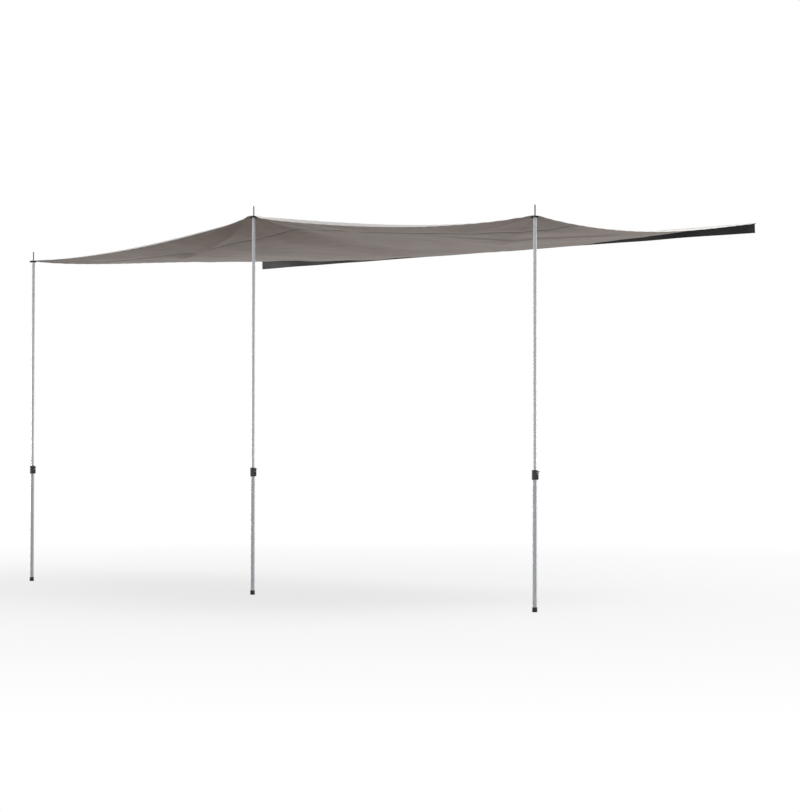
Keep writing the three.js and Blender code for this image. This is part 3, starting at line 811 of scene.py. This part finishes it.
def fold_outline():
    """The rounded fold at an edge: how far each point lies beyond the edge, and its offset."""
    centre, quarter = (0, CLOTH / 2 - FOLD_RADIUS), math.pi / 2
    outer = arc(centre, FOLD_RADIUS, quarter, -quarter, 9)
    return np.array(outer + arc(centre, GAP / 2, -quarter, quarter, 5)).T


def add_hems():
    # The hem folds' under sides and walls take the darker hem colour, which is painted shade along the hem
    # edge.
    materials = [shaded_hem_material, under_material]
    xs = grid_lines(-OUTER_EDGE, OUTER_EDGE, GRID_STEP, HEAD_XS)
    ways = grid_lines(HEM_LINE, CLOTH_FRONT, FINE_STEP, [CANOPY_DEPTH])
    trim(layer("front_hem_fold", xs, ways, HEM_LOW, HEM_HIGH, materials), "hem", "front_hem")
    reach, offset = fold_outline()
    line = np.linspace(-OUTER_EDGE, OUTER_EDGE, ACROSS_POINTS)[:, None]
    add_bar("front_hem_edge", place(line, CLOTH_FRONT + reach, offset), outer_material, "hem")
    line = np.linspace(0, CLOTH_FRONT, FORWARD_POINTS)[:, None]
    ways = grid_lines(0, HEM_LINE - HEM_END, GRID_STEP, [SEAM_LINE], SEAM_REACH)
    for side, sign in (("left", -1), ("right", 1)):
        xs = np.linspace(*sorted([sign * OUTER_EDGE, sign * (OUTER_EDGE - SIDE_HEM_WIDTH)]), 6)
        trim(layer(f"{side}_hem_fold", xs, ways, HEM_LOW, HEM_HIGH, materials), "hem", f"{side}_hem")
        rings = place(sign * (OUTER_EDGE + reach), line, offset)
        add_bar(f"{side}_hem_edge", rings[::-sign], outer_material, "hem")


LOZENGE_FACES = ((0, 2, 4), (4, 2, 1), (0, 4, 3), (4, 1, 3), (0, 5, 2), (5, 1, 2), (0, 3, 5), (5, 3, 1))


def lozenges(middles, along, side):
    """Points and faces of stitches, each a small closed lozenge, from their middles and unit directions."""
    long, wide = along * STITCH_LENGTH / 2, side * STITCH_WIDTH / 2
    high = np.cross(along, side) * STITCH_HEIGHT
    corners = [middles + reach for reach in (-long, long, -wide, wide, high, -high)]
    faces = [tuple(6 * n + k for k in face) for n in range(len(middles)) for face in LOZENGE_FACES]
    return np.stack(corners, 1).reshape(-1, 3), faces


def on_line(runs, line_runs, line):
    """Places at the given runs along a line of points."""
    return np.stack([np.interp(runs, line_runs, line[:, k]) for k in range(3)], -1)


def stitch_rows(name, rows, offset, sign, material, slot):
    """Rows of stitches on the upper side (sign 1) or under side (-1). A row is x and way along its line."""
    parts = []
    for x, way in rows:
        line = place(x, way, offset)
        run = np.concatenate([[0], np.cumsum(np.linalg.norm(np.diff(line, axis=0), axis=1))])
        runs = np.arange(STITCH_PITCH, run[-1] - STITCH_PITCH / 2, STITCH_PITCH)
        middles = on_line(runs, run, line)
        along = unit(on_line(runs + STITCH_LENGTH / 2, run, line) - middles)
        parts.append(lozenges(middles, along, unit(np.cross([0, 0, sign], along))))
    trim(mesh_object(name, *joined(parts), [material]), slot)


def add_seam():
    """The flat felled seam between the front strip and the main width, proud on both sides of the cloth."""
    xs = np.linspace(-OUTER_EDGE + SIDE_HEM_WIDTH, OUTER_EDGE - SIDE_HEM_WIDTH, SEAM_POINTS)
    half = SEAM_WIDTH / 2
    reach = np.array([-half, -half + SEAM_SLOPE, 0, half - SEAM_SLOPE, half, 0])
    # The under side takes the darker seam colour, which is painted shade of the seam's groove.
    for name, sign, material in (("under", -1, shaded_seam_material), ("top", 1, outer_material)):
        high = SEAM_HEIGHT[name]
        offset = sign * (CLOTH / 2 + np.array([0, high, high * SEAM_CROWN_SHARE, high, 0, -CLOTH / 4]))
        rings = place(xs[:, None], SEAM_LINE + reach, offset)
        add_bar(f"front_seam_{name}", rings[::sign], material, "cloth", sharp=SEAM_SHARP)
    rows = [(xs, SEAM_LINE + shift) for shift in SEAM_ROWS]
    for name, sign, thread in (("under", -1, thread_taupe), ("top", 1, thread_pale)):
        offset = sign * (CLOTH / 2 + SEAM_THREAD_HEIGHT[name])
        stitch_rows(f"seam_stitches_{name}", rows, offset, sign, thread, "cloth")


def add_hem_stitches():
    xs = np.linspace(-OUTER_EDGE + STITCH_END, OUTER_EDGE - STITCH_END, 600)
    ways = np.linspace(STITCH_END, HEM_LINE - STITCH_END, 300)
    side_x = OUTER_EDGE - SIDE_HEM_WIDTH + STITCH_INSET
    rows = [(xs, HEM_LINE + STITCH_INSET), (-side_x, ways), (side_x, ways)]
    stitch_rows("hem_stitches_under", rows, HEM_LOW, -1, thread_pale, "hem")
    stitch_rows("hem_stitches_top", rows, CLOTH / 2, 1, thread_pale, "hem")


def head_grid(head, side_reach, back_reach):
    """Grid lines round a head: as far to both sides as the cloth goes, and from behind it to the front."""
    left, right = max(head.x - side_reach, -OUTER_EDGE), min(head.x + side_reach, OUTER_EDGE)
    xs = grid_lines(left, right, FINE_STEP, [head.x])
    return xs, grid_lines(CANOPY_DEPTH - back_reach, CLOTH_FRONT, FINE_STEP, [CANOPY_DEPTH])


def add_head_pieces(side, head):
    def droop(x):
        return -TAB_DROOP * smoothstep(np.abs(x - head.x), TAB_DROOP_START, TAB_SIDE)

    high = HEM_LOW - GAP
    xs, ways = head_grid(head, TAB_SIDE, TAB_REACH)
    tab = layer(f"{side}_webbing_tab", xs, ways, high - TAB_THICKNESS, high, [webbing_material], droop)
    trim(tab, "webbing", f"{side}_tab")
    low = CLOTH / 2 + GAP
    high = low + PATCH_THICKNESS
    xs, ways = head_grid(head, PATCH_REACH, PATCH_REACH)
    trim(layer(f"{side}_top_patch", xs, ways, low, high, [outer_material]), "hem", f"{side}_patch")
    across = np.linspace(xs[0] + STITCH_INSET, xs[-1] - STITCH_INSET, PATCH_POINTS)
    forward = np.linspace(ways[0] + STITCH_INSET, ways[-1] - STITCH_INSET, PATCH_POINTS)
    rows = [(across[0], forward), (across[-1], forward), (across, forward[0]), (across, forward[-1])]
    stitch_rows(f"{side}_patch_stitches", rows, high, 1, thread_pale, "hem")
    add_eyelet(side, head)


def box_radius(node):
    low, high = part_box(node)
    return (high.x - low.x) / 2


def both_ends(end, bottom, top):
    """A profile whose ends are alike. end gives radius and height above the bottom."""
    lower = [(radius, bottom + rise) for radius, rise in end]
    return lower + [(radius, top - rise) for radius, rise in end[::-1]]


def add_eyelet(side, head):
    """A rolled eyelet: a barrel through all layers with a round lip on both sides."""
    low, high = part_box(f"{side}_eyelet")
    lip = box_radius(f"{side}_eyelet")
    bore, wall = lip - EYELET_BARREL, EYELET_WALL
    end = [
        (bore, EYELET_ROLL),
        (bore + 0.0004, 0.0003),
        (bore + 0.0013, 0),
        (lip - 0.0010, 0.0001),
        (lip, wall),
        (lip - 0.0004, wall + 0.0002),
        (bore + wall, wall + 0.0002),
    ]
    profile = both_ends(end, low.z - head.z, high.z - head.z)
    part = turned(profile, head, 64)
    ring = mesh_object(f"{side}_eyelet_ring", *part, [zinc_material], sharp=EYELET_SHARP)
    trim(ring, "zinc", f"{side}_eyelet")


def add_back_edge():
    """The bead and its web, and the binding that holds them."""
    low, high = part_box("keder_strip")
    radius = (high.z - low.z) / 2
    centre_y, centre_z = high.y - radius, (high.z + low.z) / 2
    meet = math.asin(HALF_WEB / radius)
    bead = arc((centre_y, 0), radius, math.pi + meet, 3 * math.pi - meet, 41)
    outline = [(low.y, -HALF_WEB)] + bead + [(low.y, HALF_WEB)]
    rings = [[(x, y, centre_z + z) for y, z in outline] for x in np.linspace(low.x, high.x, 3)]
    add_bar("bead_and_web", np.array(rings), bead_material, "bead", "keder_strip")
    xs, ways = np.linspace(-OUTER_EDGE, OUTER_EDGE, ACROSS_POINTS), np.linspace(0.0, BACK_HEM_WIDTH, 7)
    inside, outside = CLOTH / 2 + GAP / 2, CLOTH / 2 + BINDING
    trim(layer("back_binding_top", xs, ways, inside, outside, [outer_material]), "cloth")
    trim(layer("back_binding_under", xs, ways, -outside, -inside, [under_material]), "cloth")
    rows = [(xs, STITCH_END), (xs, BACK_HEM_WIDTH - STITCH_INSET)]
    stitch_rows("back_stitches_top", rows, outside, 1, thread_pale, "cloth")
    stitch_rows("back_stitches_under", rows, -outside, -1, thread_taupe, "cloth")


BAND_THICKNESS = 0.0010
BAND_LEVELS = 13
BAND_HEM = 0.009
# Waves of the back band: seed, count, shortest and longest length, height
BAND_SWAY = (31, 6, 0.18, 0.75, 0.0045)
BAND_RIPPLE = (32, 5, 0.05, 0.14, 0.0006)
BAND_LIFT = (33, 4, 0.4, 0.9, 0.0012)
BAND_SWAY_POWER = 1.4


def band_places(x, level):
    """The black band's middle surface at x and at a level from 0 at its top to 1 at its lower edge."""
    low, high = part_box("back_flap")
    y = (low.y + high.y) / 2 + waves(x, 0 * x, *BAND_SWAY) * level**BAND_SWAY_POWER
    y = y + waves(x, 0 * x, *BAND_RIPPLE) * level
    z = high.z - (high.z - low.z) * level + waves(x, 0 * x, *BAND_LIFT) * level
    return np.stack([x, y, z], -1)


def add_back_band():
    """The black band that hangs under the back edge, with the row of stitches at its lower edge."""
    low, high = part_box("back_flap")
    height = high.z - low.z
    xs = np.linspace(low.x, high.x, ACROSS_POINTS)
    middle = band_places(*np.meshgrid(xs, np.linspace(0, 1, BAND_LEVELS))).reshape(-1, 3)
    half = np.array([0, BAND_THICKNESS / 2, 0])
    faces, _ = closed_faces(np.ones((BAND_LEVELS - 1, ACROSS_POINTS - 1), bool))
    points = np.concatenate([middle - half, middle + half])
    band = mesh_object("back_band", points, faces, [band_material], sharp=LAYER_SHARP)
    declared(band, "canopy", "black_band", "back_flap")
    stitch_xs = xs[0] + STITCH_PITCH * np.arange(1, int((xs[-1] - xs[0]) / STITCH_PITCH))
    middles = on_line(stitch_xs, xs, band_places(xs, 1 - BAND_HEM / height)) - half
    part = lozenges(middles, np.array([1.0, 0, 0]), np.array([0, 0, 1.0]))
    stitches = declared(mesh_object("band_stitches", *part, [thread_black]), "canopy", "black_band")


def add_canopy():
    sheet = add_sheet()
    add_hems()
    add_seam()
    add_hem_stitches()
    for side, head in HEADS.items():
        add_head_pieces(side, head)
    add_back_edge()
    add_back_band()


add_canopy()


# Poles


PLASTIC_SHARP = 35
METAL_SHARP = 40


def pole_piece(name, part, material, body, slot, *replaced):
    sharp = PLASTIC_SHARP if slot == "plastic" else METAL_SHARP
    return declared(mesh_object(name, *part, [material], sharp=sharp), body, slot, *replaced)


TUBE_WALL = 0.0010
EDGE = 0.0003
SLIP = 0.0002
DOME_END = 1.18
SPIKE_TIP = 0.0042
SPIKE_TIP_POWER = 0.8
# The foot's outer rim: how far in from its widest radius, and the height above its underside
FOOT_RIM = ((0.0022, 0), (0.0010, 0.0003), (0, 0.0014), (0, 0.0036), (0.0004, 0.0044))
FOOT_SHOULDER = 0.0050
FOOT_WALL = 0.0012
FOOT_FLOOR = 0.0040
GROOVE = ((0, 0), (0.0006, 0.0004), (0.0006, 0.0012), (0, 0.0016))
GROOVE_COUNT = 3
GROOVE_START = 0.0075
GROOVE_PITCH = 0.0045
CLAMP_TURN = math.radians(35)
COLLAR_CLEARANCE = 0.0003
COLLAR_WALL = 0.0030
COLLAR_RIM = 0.0008
COLLAR_RIM_HEIGHT = 0.0050
COLLAR_SOCKET = 0.022
PIN_ABOVE_SOCKET = 0.0070
PIN_BEYOND_WALL = 0.0004
PIN_RADIUS = 0.0015
HUB_RADIUS = 0.0034
CAM_THROW = 0.0005
LEVER_WIDTH = 0.012
LEVER_THICKNESS = 0.0034
LEVER_LENGTH = 0.018
LEVER_TIP_REACH = 0.0054
EAR_THICKNESS = 0.0034
EAR_RADIUS = 0.0036
RIB_COUNT = 7
RIB_HEIGHT = 0.0007
RIB_HALF_WIDTH = 0.0013
RIB_TURN = math.radians(240)
PIN_HEAD_HEIGHT = 0.0009
PIN_HEAD_RADIUS = 0.0024
# The pin's rounded head: shares of its radius and height
PIN_HEAD = ((0, 1), (0.5, 0.95), (0.85, 0.6), (1, 0))
WINDOW_HALF_HEIGHT = 0.0058
WINDOW_BEYOND_PIN = 0.010


def add_tube(side, head, end, material, rings):
    """One of a pole's two tubes, with rings of points along it for even shading."""
    node = f"{side}_{end}_tube"
    low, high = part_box(node)
    outer = box_radius(node)
    inner = outer - TUBE_WALL
    profile = [(inner, low.z + EDGE), (inner + EDGE, low.z), (outer - EDGE, low.z)]
    profile += [(outer, z) for z in np.linspace(low.z + EDGE, high.z - EDGE, rings + 1)]
    profile += [(outer - EDGE, high.z), (inner + EDGE, high.z), (inner, high.z - EDGE)]
    part = turned(profile, (head.x, head.y, 0))
    pole_piece(f"{side}_{end}_pole", part, material, f"{side}_{end}", "tube", node)


def add_upper(side, head):
    """The upper tube, the plug in its head and the spike."""
    add_tube(side, head, "upper", upper_tube_material, 24)
    axis = (head.x, head.y, 0)
    outer, rod = box_radius(f"{side}_upper_tube"), box_radius(f"{side}_spike")
    low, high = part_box(f"{side}_top_plug")
    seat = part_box(f"{side}_upper_tube")[1].z + EDGE
    shank, bore = outer - TUBE_WALL - EDGE, rod + SLIP
    dome = [(outer * math.cos(a), seat + (high.z - seat) * math.sin(a)) for a in np.linspace(0, DOME_END, 9)]
    part = turned([(bore, low.z), (shank, low.z), (shank, seat)] + dome + [(bore, high.z)], axis)
    pole_piece(f"{side}_head_plug", part, zinc_material, f"{side}_upper", "zinc", f"{side}_top_plug")
    low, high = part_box(f"{side}_spike")
    tip = high.z - SPIKE_TIP
    profile = [(0, low.z), (rod - EDGE, low.z), (rod, low.z + EDGE), (rod, tip)]
    for a in np.linspace(0.25, 1.4, 7):
        profile.append((rod * math.cos(a) ** SPIKE_TIP_POWER, tip + SPIKE_TIP * math.sin(a)))
    part = turned(profile + [(0, high.z)], axis, 48)
    pole_piece(f"{side}_steel_spike", part, spike_material, f"{side}_upper", "zinc", f"{side}_spike")


def add_foot(side, head):
    low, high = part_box(f"{side}_foot_cap")
    outer, bore = box_radius(f"{side}_foot_cap"), box_radius(f"{side}_lower_tube") + SLIP
    wall = bore + FOOT_WALL
    profile = [(0, low.z)] + [(outer - inward, low.z + rise) for inward, rise in FOOT_RIM]
    profile.append((wall, low.z + FOOT_SHOULDER))
    for k in range(GROOVE_COUNT):
        start = low.z + GROOVE_START + GROOVE_PITCH * k
        profile += [(wall - deep, start + rise) for deep, rise in GROOVE]
    profile += [(wall, high.z - 0.0008), (wall - 0.0004, high.z), (bore + 0.0001, high.z)]
    profile += [(bore, high.z - 0.0004), (bore, low.z + FOOT_FLOOR), (0, low.z + FOOT_FLOOR)]
    part = turned(profile, (head.x, head.y, 0))
    pole_piece(f"{side}_rubber_foot", part, rubber_material, f"{side}_lower", "rubber", f"{side}_foot_cap")


def collar_part(socket_radius, bore, height):
    """The collar's turned body with soft upright ribs between its two rims, in the clamp's own frame."""
    wall = socket_radius + COLLAR_WALL
    rim = wall + COLLAR_RIM
    rim_end = COLLAR_RIM_HEIGHT + COLLAR_RIM
    profile = [(socket_radius, 0), (rim - 0.0006, 0), (rim, 0.0006), (rim, COLLAR_RIM_HEIGHT)]
    profile += [(wall, z) for z in np.linspace(rim_end, height - rim_end, 12)]
    profile += [(rim, height - COLLAR_RIM_HEIGHT), (rim, height - 0.0010), (rim - 0.0003, height - 0.0004)]
    profile += [(rim - 0.0010, height), (bore + 0.0006, height), (bore, height - 0.0006)]
    profile += [(bore, COLLAR_SOCKET), (socket_radius, COLLAR_SOCKET)]

    def ripple(angles, radius):
        if abs(radius - wall) > 1e-6:
            return 0
        lift = 0
        for share in np.linspace(0, 1, RIB_COUNT):
            centre = math.pi / 3 + share * RIB_TURN
            away = (angles - centre + math.pi) % (2 * math.pi) - math.pi
            lift = lift + RIB_HEIGHT * np.exp(-((away * radius / RIB_HALF_WIDTH) ** 4))
        return lift

    return turned(profile, (0, 0, 0), 192, ripple)


def ear_outline(inner_x, pin_x, pin_z):
    outer_x = pin_x + EAR_RADIUS
    outline = [(inner_x, COLLAR_RIM), (outer_x - 0.0020, COLLAR_RIM), (outer_x - 0.0006, COLLAR_RIM + 0.0005)]
    outline += [(outer_x, COLLAR_RIM + 0.0018)] + arc((pin_x, pin_z), EAR_RADIUS, 0, math.pi / 2, 9)
    return outline + [(inner_x, pin_z + EAR_RADIUS + COLLAR_WALL)]


def lever_outline(inner, pin_x, pin_z):
    """Side view of the lever: the cam round the pin, the arm and the turned-out finger tip."""
    outer = inner + LEVER_THICKNESS
    tip = outer + LEVER_TIP_REACH
    top = pin_z + LEVER_LENGTH
    hub = arc((pin_x - CAM_THROW, pin_z), HUB_RADIUS, math.radians(125), math.radians(345), 24)
    arm = [
        (outer, pin_z - 0.0004),
        (outer, top - 0.0064),
        (tip, top - 0.0034),
        (tip, top - 0.0006),
        (tip - 0.0012, top),
        (inner + 0.0006, top),
        (inner, top - 0.0022),
        (inner, pin_z + HUB_RADIUS + 0.0006),
    ]
    return hub + rounded(arm, 0.0012)


def add_clamp(side, head):
    """The collar, the two cheeks beside its lever, the lever and the pin."""
    low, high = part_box(f"{side}_clamp_collar")
    socket_radius = box_radius(f"{side}_lower_tube") + COLLAR_CLEARANCE
    bore = box_radius(f"{side}_upper_tube") + COLLAR_CLEARANCE
    wall = socket_radius + COLLAR_WALL
    pin_x, pin_z = wall + PIN_BEYOND_WALL, COLLAR_SOCKET + PIN_ABOVE_SOCKET
    half_lever = LEVER_WIDTH / 2
    ear_inside = half_lever + COLLAR_CLEARANCE
    spot = Matrix.Translation((head.x, head.y, low.z)) @ Matrix.Rotation(CLAMP_TURN, 4, "Z")
    upright = Matrix.Rotation(math.pi / 2, 4, "X")
    lower = f"{side}_lower"

    part = moved(collar_part(socket_radius, bore, high.z - low.z), spot)
    collar = pole_piece(f"{side}_collar", part, plastic_material, lower, "plastic", f"{side}_clamp_collar")
    cut_window(collar, spot, pin_x, pin_z, ear_inside)
    hole = arc((pin_x, pin_z), PIN_RADIUS + SLIP, 0, math.radians(348.75), 32)
    outline = ear_outline(socket_radius + COLLAR_WALL / 2, pin_x, pin_z)
    ear = plate([outline, hole], EAR_THICKNESS / 2, 0.0004)
    ears = []
    for sign in (-1, 1):
        shift = Matrix.Translation((0, sign * (ear_inside + EAR_THICKNESS / 2), 0))
        ears.append(moved(ear, spot @ shift @ upright))
    pole_piece(f"{side}_collar_cheeks", joined(ears), plastic_material, lower, "plastic")

    outline = lever_outline(wall + COLLAR_RIM + COLLAR_CLEARANCE, pin_x, pin_z)
    part = moved(plate([outline, hole], half_lever, 0.0005, 3), spot @ upright)
    pole_piece(f"{side}_lever", part, lever_material, f"{side}_lever", "plastic", f"{side}_clamp_lever")

    half = ear_inside + EAR_THICKNESS + SLIP
    end = [(PIN_HEAD_RADIUS * wide, -PIN_HEAD_HEIGHT * rise) for wide, rise in PIN_HEAD]
    pin = turned(both_ends(end + [(PIN_RADIUS, 0)], -half, half), (0, 0, 0), 32)
    part = moved(pin, spot @ Matrix.Translation((pin_x, 0, pin_z)) @ upright)
    pole_piece(f"{side}_pin", part, zinc_material, lower, "zinc", f"{side}_lever_pin")


def cut_window(collar, spot, pin_x, pin_z, half_width):
    """Opens the collar's wall behind the lever, for the brake shoe."""
    corners = []
    for x in (0.0, pin_x + WINDOW_BEYOND_PIN):
        for y in (-half_width, half_width):
            for z in (pin_z - WINDOW_HALF_HEIGHT, pin_z + WINDOW_HALF_HEIGHT):
                corners.append(spot @ Vector((x, y, z)))
    faces = [(0, 1, 3, 2), (4, 6, 7, 5), (0, 4, 5, 1), (2, 3, 7, 6), (0, 2, 6, 4), (1, 5, 7, 3)]
    tool = mesh_object("window_tool", corners, faces, [])
    cut = collar.modifiers.new("window", "BOOLEAN")
    cut.operation = "DIFFERENCE"
    cut.solver = "EXACT"
    cut.object = tool
    bpy.context.view_layer.update()
    made = bpy.data.meshes.new_from_object(collar.evaluated_get(bpy.context.evaluated_depsgraph_get()))
    collar.modifiers.clear()
    collar.data = made
    made.set_sharp_from_angle(angle=math.radians(PLASTIC_SHARP))
    bpy.data.objects.remove(tool)


def paint_kept_node(node, material):
    """Gives a CAD node that stays a material and softer edges."""
    obj = frame["nodes"][node]
    obj.data.materials.clear()
    obj.data.materials.append(material)
    bevel = obj.modifiers.new("soft_edges", "BEVEL")
    bevel.width = 0.0002
    bevel.segments = 2
    bevel.limit_method = "ANGLE"


for side_name, head_place in HEADS.items():
    add_upper(side_name, head_place)
    add_tube(side_name, head_place, "lower", lower_tube_material, 12)
    add_foot(side_name, head_place)
    add_clamp(side_name, head_place)
    for inner_part in ("glide_bush", "brake_shoe"):
        paint_kept_node(f"{side_name}_{inner_part}", nylon_material)


# Floor, light and background


WHITE = (1, 1, 1, 1)
WORLD_LIGHT = 0.40
FLOOR_REACH = 60.0


def seen_directly(tree):
    """1 for rays from the camera and for those that are mirrored or let through, and 0 for the light's."""
    path = add_node(tree, "LightPath", {})
    seen = path.outputs["Is Camera Ray"]
    for kind in ("Is Glossy Ray", "Is Transmission Ray"):
        seen = add_node(tree, "Math", {0: seen, 1: path.outputs[kind]}, operation="MAXIMUM").outputs[0]
    return seen


def add_floor():
    """A pale floor that runs out into the white background away from the object."""
    look = Look("floor", 0.9)
    look.finish(look.clouded(look.noise(30.0, 3.0, 0.5), (0.61, 0.61, 0.61), (0.63, 0.63, 0.63)))
    white = look.node("Emission", {"Strength": 1.0, "Color": WHITE})
    distance = look.node("VectorMath", {0: look.coords}, operation="LENGTH").outputs["Value"]
    share = look.math("MULTIPLY", look.span(distance, 1.5, 7.0, 0.72, 1.0), seen_directly(look.tree))
    blend = look.node("MixShader", {0: share, 1: look.shader.outputs[0], 2: white.outputs[0]})
    look.tree.links.new(blend.outputs[0], look.tree.nodes["Material Output"].inputs["Surface"])
    r = FLOOR_REACH
    corners = [(-r, -r, 0), (r, -r, 0), (r, r, 0), (-r, r, 0)]
    floor = mesh_object("floor", corners, [(0, 1, 2, 3)], [look.material])
    floor.location = (0, -CANOPY_DEPTH / 2, GROUND - 0.0002)


def add_world():
    """White where the background is seen directly, and a weaker sky light elsewhere."""
    world = bpy.data.worlds.new("world")
    world.use_nodes = True
    scene.world = world
    tree = world.node_tree
    tree.nodes.clear()
    light = add_node(tree, "Background", {"Color": (0.97, 0.98, 1.0, 1), "Strength": WORLD_LIGHT})
    white = add_node(tree, "Background", {"Color": WHITE, "Strength": 1.0})
    mix = add_node(tree, "MixShader", {0: seen_directly(tree), 1: light.outputs[0], 2: white.outputs[0]})
    add_node(tree, "OutputWorld", {"Surface": mix.outputs[0]})


def add_lamp(name, place_at, aim, size, power):
    data = bpy.data.lights.new(name, "AREA")
    data.shape = "RECTANGLE"
    data.size, data.size_y = size
    data.energy = power
    lamp = bpy.data.objects.new(name, data)
    lamp.location = place_at
    lamp.rotation_euler = (Vector(aim) - Vector(place_at)).to_track_quat("-Z", "Y").to_euler()
    scene.collection.objects.link(lamp)


add_floor()
add_world()
add_lamp("key", (4.0, 3.0, 6.5), (0, -1.1, -0.6), (5.0, 4.0), 650)
add_lamp("low_right", (7.0, 5.5, -1.2), (0, -1.1, -0.1), (4.0, 1.3), 250)
add_lamp("low_left", (-8.5, -3.5, -1.3), (0, -1.1, -0.1), (4.0, 1.3), 320)
add_lamp("front", (0.5, -13.0, 0.8), (0, -1.1, -0.9), (4.0, 3.0), 60)
add_lamp("top", (1.5, 2.5, 6.5), (0, -1.1, -0.5), (6.0, 5.0), 80)
scene.view_settings.view_transform = "Standard"
